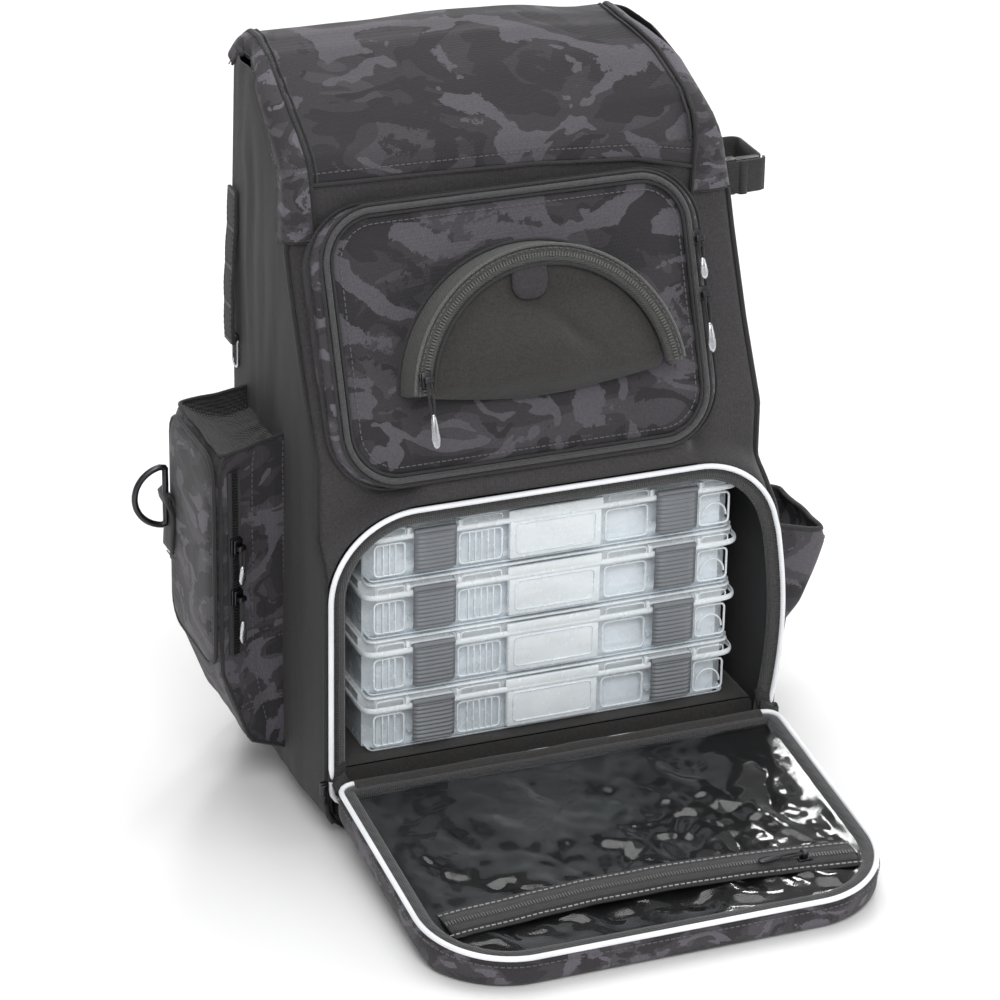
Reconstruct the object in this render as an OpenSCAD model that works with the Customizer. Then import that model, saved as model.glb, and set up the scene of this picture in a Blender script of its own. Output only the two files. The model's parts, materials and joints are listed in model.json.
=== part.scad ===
/* [Body] */
// Width of the pack body
body_w = 330; // [328:1:332]
// Height of the pack body to the top of the lid
body_h = 516; // [514:1:518]
// Thickness of the padded fabric walls
wall = 3; // [2.6:0.1:3.2]

/* [Lower compartment] */
// Height of the bottom lip in front of the compartment
lip_h = 26; // [24:1:27]
// Height of the top edge of the opening
opening_top = 242; // [241:1:243]
// Radius of the two top corners of the opening
opening_r = 63; // [56:1:66]

/* [Flap] */
// Length of the flap from hinge side to near edge
flap_l = 216; // [212:1:216]
// Width of the flap
flap_w = 329; // [324:1:329]
// Angle at which the open flap slopes down to the floor
flap_slope = 6.86; // [6.86:0.01:7]

/* [Tackle boxes] */
// Width of one box
tray_w = 275; // [268:1:276]
// Depth of one box
tray_d = 176; // [170:1:177]
// Height taken by each box in the stack
tray_pitch = 43; // [43:0.1:43.2]
// Wall of the moulded boxes
tray_wall = 1.6; // [1.4:0.1:2]

/* [Front pocket] */
// Width of the front pocket
pocket_w = 278; // [274:1:280]
// Length of the front pocket along its leaning face
pocket_l = 186; // [182:1:188]
// Angle at which the front pocket leans back
pocket_lean = 20.8; // [20:0.1:21.5]
// Outer radius of the half-moon pocket
moon_r = 97; // [94:1:99]
// Depth of the half-moon pocket
moon_depth = 26; // [22:1:28]

/* [Side pockets and harness] */
// How far the left pocket stands out from the body
side_pocket_x = 62; // [58:1:64]
// Width of a shoulder strap
strap_w = 62; // [54:1:66]
// Thickness of a shoulder strap
strap_t = 11; // [9:1:12]

/* [Hidden] */

half_w = body_w / 2;
gap = 0.4;
front_y = -97.3;
back_y = 104;
lid_seam_z = 446;
shelf_z = 241.5;
right_x = 153;
corner_depth = 17.3;

// The left and right side outline of the body, as [y, z], counter-clockwise
side_outline = [
    [front_y, 0], [back_y, 0], [back_y, body_h - 12], [92, body_h], [63, body_h], [31, 494],
    [3, 474], [-18, 459], [-20, lid_seam_z], [-20, 402], [-28, 381], [-53, 324], [-77, 279],
    [front_y, 242]
];
// The front outline of the body, as [x, z], counter-clockwise. The right side leans in above the opening.
front_outline = [
    [half_w - 28, 0], [half_w - 8, 8], [half_w, 28], [half_w, 180], [half_w - 3, 200],
    [right_x + 3, 216], [right_x, 230], [right_x, 402], [146, 440], [138, 468], [131, 490],
    [118, 508], [108, 521], [-150, 521], [-157, 513], [-163, 500], [-half_w, 400],
    [-half_w, 28], [8 - half_w, 8], [28 - half_w, 0]
];
// The plan outline of the body, as [x, y], counter-clockwise
plan_outline = [
    [half_w - 10, back_y], [10 - half_w, back_y], [3 - half_w, back_y - 3],
    [-half_w, back_y - 10], [-half_w, front_y], [half_w, front_y],
    [half_w, back_y - 10], [half_w - 3, back_y - 3]
];

// The flap turns about this line, level with the middle of its rear edge
flap_hinge = [0, -118, 36.5];
flap_back = 10;
flap_top = 12;

// The foot of the front pocket's face, and the half-moon's centre on that face
pocket_foot = [-17, -95, 258];
moon_foot = [8, 0, 60];
moon_drop = 9;
moon_band = 14;
moon_slider_x = -88.2;
zip_x = pocket_w / 2 - 9.5;

// The boxes stand on the riser, which lifts them clear of the open flap
tray_z = 51;
tray_x = 4;
tray_front = -79;
latch_w = 31;
latch_x = 88.5;
latch_h = 30;
pin_r = 1;
pin_gap = 0.05;

// Left pocket, outer face and hinge edge
side_x = -half_w - side_pocket_x;
door_edge_y = 50;
pocket_in = -half_w - gap;
pocket_out = side_x + 3.4;
pocket_corner = [pocket_out, -45];
pocket_front = [pocket_in, -20];
front_turn = atan2(pocket_front[1] - pocket_corner[1], pocket_front[0] - pocket_corner[0]);
left_zip = pocket_corner + 14 * [cos(front_turn), sin(front_turn)];
ring_bar = [side_x - 6.5, 40, 210];
ring_r = 22;
ring_wire = 2.2;
clip_bar = [-168, 83, 300];
handle_hinge = [0, 109.2, 482];
grip_y = 4.5;

// The rod strap's buckle stands out from the right side, and the sternum strap's from the harness
strap_z = 388;
buckle_x = 174;
sternum_z = 318;
sternum_y = 156.4;
lumbar_w = 118;

// The window's zip runs across the flap, and its pull hangs from this pin
zip_v = -158;
flap_pin = [105.5, zip_v, flap_top + 3.2];

// The moulded boxes' walls stand inside their lids
body_inset = 3.5;
latch_pin = [0, -2.9, 38];

function unit(v) = v / norm(v);
function edge_normal(a, b) = let (d = unit(b - a)) [d[1], -d[0]];
function moved_corner(a, b, c, d) =
    let (n1 = edge_normal(a, b), n2 = edge_normal(b, c))
    b - (n1 + n2) * d / (1 + n1 * n2);
// Moves every edge of a counter-clockwise outline inwards by d
function inset(pts, d) =
    let (n = len(pts))
    [for (i = [0:n - 1]) moved_corner(pts[(i + n - 1) % n], pts[i], pts[(i + 1) % n], d)];

// Extrudes a [x, z] outline along Y, from y0 over the given depth
module along_y(y0, depth) {
    translate([0, y0 + depth, 0]) rotate([90, 0, 0]) linear_extrude(depth) children();
}

// Extrudes a [y, z] outline along X, from x0 over the given width
module along_x(x0, width) {
    translate([x0, 0, 0]) rotate([90, 0, 90]) linear_extrude(width) children();
}

// A plate outline centred on X that stands on Y 0, with its own corner radii below and above
module rounded_outline(w, h, low_r, high_r) {
    translate([-w / 2, low_r]) square([w, h - low_r - high_r]);
    translate([high_r - w / 2, h - high_r - 0.01]) square([w - 2 * high_r, high_r + 0.01]);
    translate([low_r - w / 2, 0]) square([w - 2 * low_r, low_r + 0.01]);
    for (s = [-1, 1]) {
        translate([s * (w / 2 - high_r), h - high_r]) circle(r = high_r, $fn = 64);
        translate([s * (w / 2 - low_r), low_r]) circle(r = low_r, $fn = 64);
    }
}

module rounded_ring(w, h, low_r, high_r, band) {
    difference() {
        rounded_outline(w, h, low_r, high_r);
        translate([0, band])
            rounded_outline(w - 2 * band, h - 2 * band, low_r - band, high_r - band);
    }
}

module body_block(d) {
    intersection() {
        along_x(-half_w - 1, body_w + 2) polygon(inset(side_outline, d));
        along_y(front_y - 1, back_y - front_y + 2) polygon(inset(front_outline, d));
        linear_extrude(body_h + 10) polygon(inset(plan_outline, d));
    }
}

// Cuts the body's front top corners back to the round corners of the opening
module corner_cut(r, depth) {
    centre_z = opening_top - opening_r;
    for (s = [-1, 1])
        difference() {
            translate([s * (half_w - opening_r / 2 + 1), front_y + depth / 2 - 1, centre_z + 60])
                cube([opening_r + 2, depth + 2, 120], center = true);
            translate([s * (half_w - opening_r), front_y + depth + 1, centre_z])
                rotate([90, 0, 0]) cylinder(r = r, h = depth + 4, $fn = 96);
        }
}

// Places its children on the leaning face of the front pocket, foot at the origin
module on_pocket_face() {
    translate(pocket_foot) rotate([-pocket_lean, 0, 0]) children();
}

module pocket_block(w, l, y0, depth, r) {
    along_y(y0, depth) rounded_outline(w, l, r, r);
}

module lower_cavity() {
    difference() {
        intersection() {
            translate([-half_w, front_y - 5, wall]) cube([body_w, 210, shelf_z - 2 * wall]);
            union() {
                body_block(wall);
                along_y(front_y - 6, 20) translate([0, lip_h + 2])
                    rounded_outline(body_w - 2 * wall, opening_top - lip_h - 5, 12,
                        opening_r - wall);
            }
        }
        corner_cut(opening_r - wall, 20);
    }
}

module upper_cavity() {
    difference() {
        body_block(wall);
        translate([-half_w, front_y - 5, -1]) cube([body_w, 210, shelf_z + 1 + wall]);
        on_pocket_face() pocket_block(pocket_w + 2 * wall + 1, pocket_l + 2 * wall + 1, -40, 72, 42);
        for (s = [-1, 1])
            translate([s * (half_w - 32), front_y + corner_depth / 2, 250])
                cube([70, corner_depth + 7, 110], center = true);
    }
}

module main_shell() {
    color("#3a3a3c") difference() {
        body_block(0);
        lower_cavity();
        upper_cavity();
        corner_cut(opening_r, corner_depth);
        on_pocket_face() translate([0, 0, -gap])
            pocket_block(pocket_w + 2 * gap, pocket_l + 2 * gap, -40, 69, 40 + gap);
        along_x(-half_w - 1, body_w + 2) polygon([
            [-22, lid_seam_z - gap], [-14, lid_seam_z - gap], [-12.4, 456.5], [6, 469.5],
            [34, 489.5], [64.5, body_h - 5], [90, body_h - 5], [101.5, body_h - 13],
            [back_y + 1, body_h - 13], [back_y + 1, body_h + 9], [-22, body_h + 9]
        ]);
    }
}

module base_board() {
    color("#202124") translate([-130, front_y + 6, wall + gap]) cube([260, 185, 3]);
}

module base_riser() {
    foot = wall + 3 + 2 * gap;
    color("#2c2c2f") along_y(front_y + 6, 185) polygon([
        [-136, foot], [136, foot], [150, foot + 10], [150, tray_z - gap], [-150, tray_z - gap],
        [-150, foot + 10]
    ]);
}

module shelf_board() {
    color("#202124") translate([-150, -52, shelf_z + wall + gap]) cube([296, 148, 2.5]);
}

module frame_sheet() {
    color("#202124") along_y(back_y + gap, 2) translate([-6, 30]) rounded_outline(260, 450, 30, 30);
}

module opening_piping() {
    color("#e9e9ea") along_y(front_y - 4.2, 3.8) translate([0, lip_h])
        rounded_ring(body_w, opening_top - lip_h, 14, opening_r, 4);
}

// A zip slider on a face whose outward normal is -Y, with a cross pin for its pull
module slider_body() {
    translate([-4.5, -5, -6]) cube([9, 4.6, 12]);
    for (s = [-1, 1]) translate([s * 2.6 - 0.7, -9.2, -2]) cube([1.4, 4.4, 4.4]);
    translate([-3, -7.2, 0]) rotate([0, 90, 0]) cylinder(r = 0.8, h = 6, $fn = 32);
}

// A pull of the given length that hangs from the slider's cross pin
module slider_pull(length) {
    difference() {
        union() {
            translate([-1.5, -7.2, 0]) rotate([0, 90, 0]) cylinder(r = 1.9, h = 3, $fn = 32);
            translate([-1.5, -8.4, -length * 0.55]) cube([3, 2.4, length * 0.55]);
            translate([-2.6, -8.8, -length]) cube([5.2, 3.2, length * 0.5]);
        }
        translate([-3, -7.2, 0]) rotate([0, 90, 0]) cylinder(r = 0.85, h = 6, $fn = 32);
    }
}

module zip_slider(side) {
    color("#1b1b1d") translate([side * (half_w + 3.2), front_y - 2, lip_h + 12])
        cube([5, 7, 16], center = true);
}

module lid_slider(side) {
    color("#1b1b1d") translate([side * 9, back_y + 2.6, body_h - 17]) {
        cube([13, 4, 9], center = true);
        translate([side * 2, 1, -8.5]) cube([4, 2, 9], center = true);
    }
}

// The space between the body's front outline moved out by d1 and by d0
module around_body(d0, d1) {
    difference() {
        along_y(-24, 130) polygon(inset(front_outline, -d1));
        along_y(-25, 132) polygon(inset(front_outline, -d0));
    }
}

module top_lid() {
    color("#4a474e") {
        intersection() {
            along_y(-24, 130) polygon(inset(front_outline, gap));
            along_x(-half_w, body_w) polygon([
                [-20, lid_seam_z], [-15.5, lid_seam_z], [-14, 456.5], [5, 470.5], [33, 490.5],
                [64, body_h - 4], [90.4, body_h - 4], [102, body_h - 12], [back_y, body_h - 12],
                [92, body_h], [63, body_h], [31, 494], [3, 474], [-18, 459]
            ]);
        }
        intersection() {
            around_body(gap, gap + 1.6);
            along_x(-half_w - 5, body_w + 10) polygon([
                [-22, 410], [0, 410], [1, 444], [36, 468], [70, 492], [100, 488],
                [back_y, body_h - 12], [92, body_h], [63, body_h], [31, 494], [3, 474],
                [-18, 459], [-22, 446]
            ]);
        }
        intersection() {
            around_body(-gap - 0.1, gap + 0.1);
            along_x(-half_w - 5, body_w + 10)
                polygon([[31, 490.6], [63, body_h - 2.6], [63, body_h], [31, 494]]);
        }
    }
}

module front_pocket() {
    color("#47444b") on_pocket_face() difference() {
        pocket_block(pocket_w, pocket_l, -gap, 29, 40);
        translate([0, 0, 2.5]) pocket_block(pocket_w - 5, pocket_l - 5, -1, 27, 37.5);
    }
}

module front_door() {
    color("#4d4a52") on_pocket_face() translate([0, 0, 5])
        pocket_block(pocket_w - 24, pocket_l - 10, -4, 3.2, 34);
}

module front_slider(v) {
    color("#27272a") on_pocket_face() translate([zip_x + 4.8, -gap, v]) slider_body();
}

module front_pull(v, length) {
    color("#b9bcc0") on_pocket_face() translate([zip_x + 4.8, -gap, v]) slider_pull(length);
}

// A disc of radius r whose centre lies below Y 0, cut straight at the given height
module moon_outline(r, low) {
    intersection() {
        translate([0, -moon_drop]) circle(r = r, $fn = 128);
        translate([-r, low]) square([2 * r, r]);
    }
}

module on_moon() {
    on_pocket_face() translate(moon_foot) children();
}

module moon_pocket() {
    front = -4.4 - moon_depth;
    color("#5d605d") on_moon() difference() {
        along_y(front, moon_depth) moon_outline(moon_r, 0);
        along_y(front + 2.4, moon_depth) moon_outline(moon_r - 2.8, 2.5);
        along_y(front - 2, 6) moon_outline(moon_r - moon_band, 5);
    }
}

module moon_door() {
    color("#2f2f31") on_moon() along_y(-4.4 - moon_depth, 2.4)
        moon_outline(moon_r - moon_band - 0.5, 6.6);
}

module on_moon_slider() {
    on_moon() translate([moon_slider_x, -4.4 - moon_depth, 9]) children();
}

module moon_slider() {
    color("#27272a") on_moon_slider() slider_body();
}

module moon_pull() {
    color("#b9bcc0") on_moon_slider() slider_pull(46);
}

// Places its children in the flap's own frame: hinge line at the origin, inner face up
module on_flap() {
    translate(flap_hinge) rotate([flap_slope, 0, 0]) children();
}

module flap_outline(band) {
    translate([0, flap_back - band]) rotate(180)
        rounded_outline(flap_w - 2 * band, flap_l - 2 * band, 12, opening_r - band);
}

module flap_panel() {
    color("#45424a") on_flap() difference() {
        union() {
            translate([0, 0, -flap_top]) linear_extrude(2 * flap_top - 4) flap_outline(0);
            translate([0, 0, -flap_top]) intersection() {
                translate([0, 0, -20]) linear_extrude(20) flap_outline(3);
                along_x(-flap_w / 2, flap_w)
                    polygon([[flap_back, 0], [flap_back - 14, -15], [-20, -18], [-195, 0]]);
            }
        }
        translate([0, 0, -flap_top + 3]) linear_extrude(30) flap_outline(11);
    }
}

module flap_piping() {
    color("#ececec") on_flap() translate([0, 0, flap_top - 3.6]) linear_extrude(3.6)
        difference() {
            flap_outline(0);
            flap_outline(4);
        }
}

module flap_window() {
    color([0.25, 0.25, 0.27, 0.6]) on_flap() translate([0, 0, flap_top - 3.6]) linear_extrude(1)
        intersection() {
            flap_outline(5);
            union() {
                translate([-flap_w, zip_v + 8]) square([2 * flap_w, 200]);
                translate([-flap_w, -250]) square([2 * flap_w, 250 + zip_v - 8]);
            }
        }
}

module flap_zip() {
    color("#6c6d70") on_flap() translate([0, 0, flap_top - 3.6]) linear_extrude(1.6)
        intersection() {
            flap_outline(5);
            translate([-flap_w, zip_v - 7.6]) square([2 * flap_w, 15.2]);
        }
}

// The flap's own slider runs along X on the inner face
module flap_slider() {
    color("#27272a") on_flap() {
        translate([102, zip_v - 4.5, flap_top - 1.6]) cube([12, 9, 3.2]);
        for (s = [-1, 1]) translate([103.7, zip_v + s * 2.6 - 0.7, flap_top + 1]) cube([3.6, 1.4, 3.8]);
        translate(flap_pin + [0, 3, 0]) rotate([90, 0, 0]) cylinder(r = 0.8, h = 6, $fn = 32);
    }
}

module flap_pull() {
    color("#8b8d90") on_flap() translate(flap_pin) difference() {
        union() {
            translate([0, 1.5, 0]) rotate([90, 0, 0]) cylinder(r = 1.5, h = 3, $fn = 32);
            translate([-12, -1.5, -0.6]) cube([12, 3, 1.2]);
            translate([-32, -3.5, -0.6]) cube([21, 7, 1.2]);
        }
        translate([0, 3, 0]) rotate([90, 0, 0]) cylinder(r = 0.85, h = 6, $fn = 32);
    }
}

// The left pocket is square behind, and its front face and its foot slant to the body
module left_block(d) {
    intersection() {
        linear_extrude(body_h)
            polygon(inset([pocket_front, [pocket_in, 62], [pocket_out, door_edge_y], pocket_corner], d));
        along_y(-60, 140) polygon(inset([
            [pocket_in, 35], [pocket_in, 258], [pocket_in - 14, 272], [pocket_out, 272],
            [pocket_out, 112], [-200, 52]
        ], d));
    }
}

module left_pocket() {
    color("#47444b") difference() {
        left_block(0);
        left_block(2.5);
        along_x(pocket_out - 4, 8) translate([3, 120]) rounded_outline(84, 146, 15, 15);
    }
}

module left_door() {
    color("#4d4a52") along_x(side_x, 3) translate([2.5, 113]) rounded_outline(95, 158, 18, 18);
}

module on_left_zip(z) {
    translate([left_zip[0], left_zip[1], z]) rotate([0, 0, front_turn]) translate([0, -gap, 0])
        children();
}

module left_slider(z) {
    color("#27272a") on_left_zip(z) slider_body();
}

module left_pull(z, length) {
    color("#b9bcc0") on_left_zip(z) slider_pull(length);
}

module ring_tab() {
    color("#1c1c1e") difference() {
        union() {
            translate([side_x - 3, 28, 158]) cube([2.6, 21, 60]);
            translate([side_x - 10.5, 33, 201]) cube([10, 14, 17]);
        }
        translate(ring_bar - [0, 0, ring_r])
            cylinder(r = ring_wire + 0.05, h = 2 * ring_r, $fn = 48);
    }
}

module d_ring() {
    color("#3a3c3f") translate(ring_bar) {
        translate([0, 0, -ring_r]) cylinder(r = ring_wire, h = 2 * ring_r, $fn = 48);
        for (s = [-1, 1]) translate([0, 0, s * ring_r]) sphere(r = ring_wire, $fn = 32);
        rotate([90, 0, 0]) rotate([0, 0, 90]) rotate_extrude(angle = 180, $fn = 64)
            translate([ring_r, 0]) circle(r = ring_wire, $fn = 32);
    }
}

module right_pocket() {
    rod_outline = [
        [half_w + gap, 62], [200, 70], [216, 86], [235, 133], [230, 143], [half_w + gap, 158]
    ];
    color("#343437") difference() {
        along_y(-35, 75) polygon(rod_outline);
        along_y(-32.5, 70) polygon(inset(rod_outline, 2.5));
        along_y(-32.5, 70) translate([0, 3]) polygon(inset(rod_outline, 2.5));
    }
}

module rod_buckle_socket() {
    color("#18181a") {
        translate([right_x + gap, 16.2, strap_z]) cube([4, 1.8, 25]);
        difference() {
            translate([right_x + 3, 13, strap_z - 1]) cube([18, 8, 27]);
            translate([right_x + 8, 15, strap_z + 2]) cube([16, 4, 21]);
        }
    }
}

module rod_buckle_plug() {
    color("#18181a") {
        translate([buckle_x + 0.6, 13.5, strap_z]) cube([18, 7, 25]);
        for (z = [strap_z + 2.6, strap_z + 18.4])
            translate([buckle_x - 10, 15.5, z]) cube([11, 3, 4]);
    }
}

module rod_strap() {
    color("#111113") {
        translate([buckle_x + 18.8, 16.2, strap_z + 0.5]) cube([3.4, 1.8, 24]);
        translate([buckle_x + 20.4, 16.2, strap_z + 0.5]) cube([1.8, 44.6, 24]);
        translate([right_x + 0.8, 59, strap_z + 0.5]) cube([buckle_x + 21.4 - right_x, 1.8, 24]);
    }
}

module tool_strip() {
    color("#202022") difference() {
        union() {
            translate([pocket_in - 3.6, 74, 302]) cube([3.6, 18, 108]);
            translate([clip_bar[0] - 2.2, clip_bar[1] - 4, 297]) cube([4.6, 8, 6]);
        }
        for (i = [0:3]) translate([pocket_in - 2.4, 73, 310 + 25 * i]) cube([1.2, 20, 20]);
        translate(clip_bar + [0, 10, 0]) rotate([90, 0, 0]) cylinder(r = 0.95, h = 20, $fn = 32);
    }
}

module wire_clip() {
    leg = 15;
    half = 5.6;
    color("#b4b7ba") translate(clip_bar) {
        translate([0, half, 0]) rotate([90, 0, 0]) cylinder(r = 0.9, h = 2 * half, $fn = 32);
        for (s = [-1, 1]) {
            translate([0, s * half, -leg]) cylinder(r = 0.9, h = leg, $fn = 32);
            translate([0, s * half, 0]) sphere(r = 0.9, $fn = 24);
        }
        translate([0, 0, -leg]) rotate([0, 90, 0]) rotate([0, 0, -90])
            rotate_extrude(angle = 180, $fn = 48) translate([half, 0]) circle(r = 0.9, $fn = 24);
    }
}

module haul_handle() {
    color("#19191b") translate(handle_hinge) {
        for (s = [-1, 1]) translate([s * 34 - 4, -1.8, -36]) cube([8, 3.6, 36]);
        translate([-40, grip_y, -38]) rotate([0, 90, 0]) cylinder(r = 6.5, h = 80, $fn = 48);
    }
}

module back_padding() {
    color("#26262a") {
        for (s = [-1, 1])
            along_y(106.8, 11) translate([s * 72, 156]) rounded_outline(104, 278, 24, 24);
        along_y(106.8, 12) translate([0, 48]) rounded_outline(lumbar_w, 94, 26, 26);
    }
}

module shoulder_strap(side) {
    color("#242427") {
        along_x(side * 76 - strap_w / 2, strap_w) polygon([
            [106.8, 446], [156 - strap_t * 3.2, 441], [139, 395], [156 - strap_t, 330],
            [154 - strap_t, 260], [147 - strap_t, 200], [147, 198], [154.4, 260], [156, 330],
            [150, 398], [130, 450], [106.8, 468]
        ]);
        along_x(side * 76 - 12.5, 25) polygon([
            [106.8, 60], [121.4, 71], [142, 201], [139.6, 201], [119.4, 74], [106.8, 66]
        ]);
        along_x(side * 76 - 16, 32) polygon([[137, 192], [143.6, 191], [146, 205], [139.5, 206]]);
    }
}

module sternum_webbing() {
    color("#161618") translate([-96, sternum_y, sternum_z]) cube([72, 1.8, 22]);
}

module sternum_socket() {
    color("#18181a") difference() {
        translate([-24, sternum_y - 2.6, sternum_z - 1]) cube([25, 7.6, 24]);
        translate([-16, sternum_y - 0.8, sternum_z + 2]) cube([20, 4, 18]);
    }
}

module sternum_plug() {
    color("#18181a") {
        translate([1.6, sternum_y - 2, sternum_z]) cube([18, 6.4, 22]);
        for (z = [sternum_z + 2.6, sternum_z + 15.4])
            translate([-13, sternum_y - 0.2, z]) cube([15, 2.8, 4]);
        translate([19, sternum_y, sternum_z]) cube([77, 1.8, 22]);
    }
}

function box_outline(w, d, cut) = [
    [-w / 2 + cut, 0], [w / 2 - cut, 0], [w / 2, cut], [w / 2, d - cut], [w / 2 - cut, d],
    [-w / 2 + cut, d], [-w / 2, d - cut], [-w / 2, cut]
];

module at_tray(i) {
    translate([tray_x, tray_front, tray_z + (i - 1) * tray_pitch]) children();
}

module tray_base(i) {
    w = tray_w - 2 * body_inset;
    d = tray_d - 2 * body_inset;
    color([0.82, 0.87, 0.93, 0.6]) at_tray(i) {
        translate([0, body_inset, 0]) {
            difference() {
                linear_extrude(36) polygon(box_outline(w, d, 8));
                translate([0, tray_wall, tray_wall]) linear_extrude(40)
                    polygon(box_outline(w - 2 * tray_wall, d - 2 * tray_wall, 7));
            }
            translate([-w / 2 + 1, d / 2, 1]) cube([w - 2, 1.4, 31]);
        }
        for (s = [-1, 1])
            translate([s * latch_x - latch_w / 2, -1, 11.4]) cube([latch_w, body_inset + 1.2, 2.4]);
    }
}

module tray_lid(i) {
    w = tray_w - 2 * body_inset + 0.8;
    d = tray_d - 2 * body_inset + 0.8;
    color([0.86, 0.9, 0.95, 0.6]) at_tray(i) {
        difference() {
            translate([0, 0, 33.6]) linear_extrude(8.8) polygon(box_outline(tray_w, tray_d, 9));
            translate([0, body_inset - 0.4, 32]) linear_extrude(8.8) polygon(box_outline(w, d, 8));
        }
        for (s = [-1, 1]) translate([s * latch_x, 0, 0]) {
            for (e = [-1, 1]) translate([e * 17 - 1.1, -5.2, 35.8]) cube([2.2, 5.3, 4.4]);
            translate(latch_pin - [17, 0, 0]) rotate([0, 90, 0]) cylinder(r = pin_r, h = 34, $fn = 32);
        }
    }
}

module tray_latches(i) {
    color("#55585c") at_tray(i) for (s = [-1, 1]) translate([s * latch_x, 0, 0]) difference() {
        union() {
            translate(latch_pin - [latch_w / 2, 0, 0]) rotate([0, 90, 0])
                cylinder(r = 2.4, h = latch_w, $fn = 48);
            translate([-latch_w / 2, -5.3, 38 - latch_h + 0.5]) cube([latch_w, 2.5, latch_h - 0.5]);
            translate([-latch_w / 2, -5.3, 38 - latch_h + 0.5]) cube([latch_w, 6.3, 2.5]);
        }
        translate(latch_pin - [latch_w, 0, 0]) rotate([0, 90, 0])
            cylinder(r = pin_r + pin_gap, h = 2 * latch_w, $fn = 48);
    }
}

main_shell();
base_board();
base_riser();
shelf_board();
frame_sheet();
opening_piping();
zip_slider(-1);  // zip_slider_left
zip_slider(1);  // zip_slider_right
top_lid();
lid_slider(-1);  // lid_slider_left
lid_slider(1);  // lid_slider_right
front_pocket();
front_door();
front_slider(136);  // front_slider_upper
front_slider(98);  // front_slider_lower
front_pull(136, 28);  // front_pull_upper
front_pull(98, 40);  // front_pull_lower
moon_pocket();
moon_door();
moon_slider();
moon_pull();
flap_panel();
flap_piping();
flap_window();
flap_zip();
flap_slider();
flap_pull();
left_pocket();
left_door();
left_slider(205);  // left_slider_upper
left_slider(167);  // left_slider_lower
left_pull(205, 28);  // left_pull_upper
left_pull(167, 34);  // left_pull_lower
ring_tab();
d_ring();
right_pocket();
rod_strap();
rod_buckle_socket();
rod_buckle_plug();
tool_strip();
wire_clip();
haul_handle();
back_padding();
shoulder_strap(-1);  // shoulder_strap_left
shoulder_strap(1);  // shoulder_strap_right
sternum_webbing();
sternum_socket();
sternum_plug();
tray_base(1);  // tray_1_base
tray_lid(1);  // tray_1_lid
tray_latches(1);  // tray_1_latches
tray_base(2);  // tray_2_base
tray_lid(2);  // tray_2_lid
tray_latches(2);  // tray_2_latches
tray_base(3);  // tray_3_base
tray_lid(3);  // tray_3_lid
tray_latches(3);  // tray_3_latches
tray_base(4);  // tray_4_base
tray_lid(4);  // tray_4_lid
tray_latches(4);  // tray_4_latches
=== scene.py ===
"""Looks of the tackle backpack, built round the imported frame. Lengths are in mm until MM scales them."""
import json
import math

import bpy
from mathutils import Matrix, Vector, noise


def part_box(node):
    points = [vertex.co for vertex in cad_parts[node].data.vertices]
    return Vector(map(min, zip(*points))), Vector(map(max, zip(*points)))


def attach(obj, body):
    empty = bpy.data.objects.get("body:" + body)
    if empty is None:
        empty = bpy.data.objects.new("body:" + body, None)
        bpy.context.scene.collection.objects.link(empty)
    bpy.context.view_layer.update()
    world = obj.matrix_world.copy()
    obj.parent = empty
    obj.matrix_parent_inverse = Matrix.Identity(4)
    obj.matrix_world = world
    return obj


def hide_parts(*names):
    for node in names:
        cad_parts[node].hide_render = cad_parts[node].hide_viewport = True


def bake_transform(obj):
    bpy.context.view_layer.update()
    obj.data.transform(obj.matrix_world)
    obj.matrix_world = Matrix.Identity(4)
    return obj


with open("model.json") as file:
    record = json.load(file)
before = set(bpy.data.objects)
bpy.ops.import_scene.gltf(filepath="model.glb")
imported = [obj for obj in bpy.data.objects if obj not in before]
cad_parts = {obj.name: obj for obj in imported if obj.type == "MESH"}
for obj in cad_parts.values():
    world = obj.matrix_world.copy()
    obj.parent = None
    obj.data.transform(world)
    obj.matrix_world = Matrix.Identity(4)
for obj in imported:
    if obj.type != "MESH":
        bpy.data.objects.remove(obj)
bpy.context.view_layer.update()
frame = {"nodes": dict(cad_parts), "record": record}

MM = 0.001

# ---------------------------------------------------------------- places taken from the frame

JOINTS = {j["name"]: j for j in frame["record"]["behaviour"]["joints"]}


def box_mm(node):
    low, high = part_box(node)
    return Vector(low) / MM, Vector(high) / MM


def joint_mm(name):
    return Vector(JOINTS[name]["pos_m"]) / MM


SHELL_LOW, SHELL_HIGH = box_mm("main_shell")
HALF_W, FRONT, BACK = SHELL_HIGH.x, SHELL_LOW.y, SHELL_HIGH.y
LID_TOP = box_mm("top_lid")[1].z
SEAM = joint_mm("lid_fold")
OPEN_LOW, OPEN_HIGH = box_mm("opening_piping")
OPEN_R = 63
ZIP_AXIS = JOINTS["front_slider_upper_run"]["axis"]
POCKET_LEAN = math.atan2(ZIP_AXIS[1], ZIP_AXIS[2])
POCKET_TURN = Matrix.Rotation(-POCKET_LEAN, 3, "X")
POCKET_W, POCKET_L = 278, 186
POCKET_FOOT = joint_mm("front_door_fold") - POCKET_TURN @ Vector((0, -2.4, 5))
MOON_CENTRE = POCKET_TURN.inverted() @ (joint_mm("moon_slider_arc") - POCKET_FOOT)
MOON_R, MOON_BAND, MOON_DROP = 97, 14, 9
FLAP_HINGE = joint_mm("flap_fold")
FLAP_SLOPE = math.radians(-90 - JOINTS["flap_fold"]["range_deg"][0])
FLAP_TURN = Matrix.Rotation(FLAP_SLOPE, 3, "X")
FLAP_W, FLAP_L, FLAP_BACK, FLAP_TOP = 329, 216, 10, 12
ZIP_V = -158


def on_pocket(x, y, z):
    return POCKET_FOOT + POCKET_TURN @ Vector((x, y, z))


def on_moon(x, y, z):
    """The half-moon's own place: its disc's centre, on the front pocket's leaning face."""
    return on_pocket(MOON_CENTRE.x + x, y, MOON_CENTRE.z + z)


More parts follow.
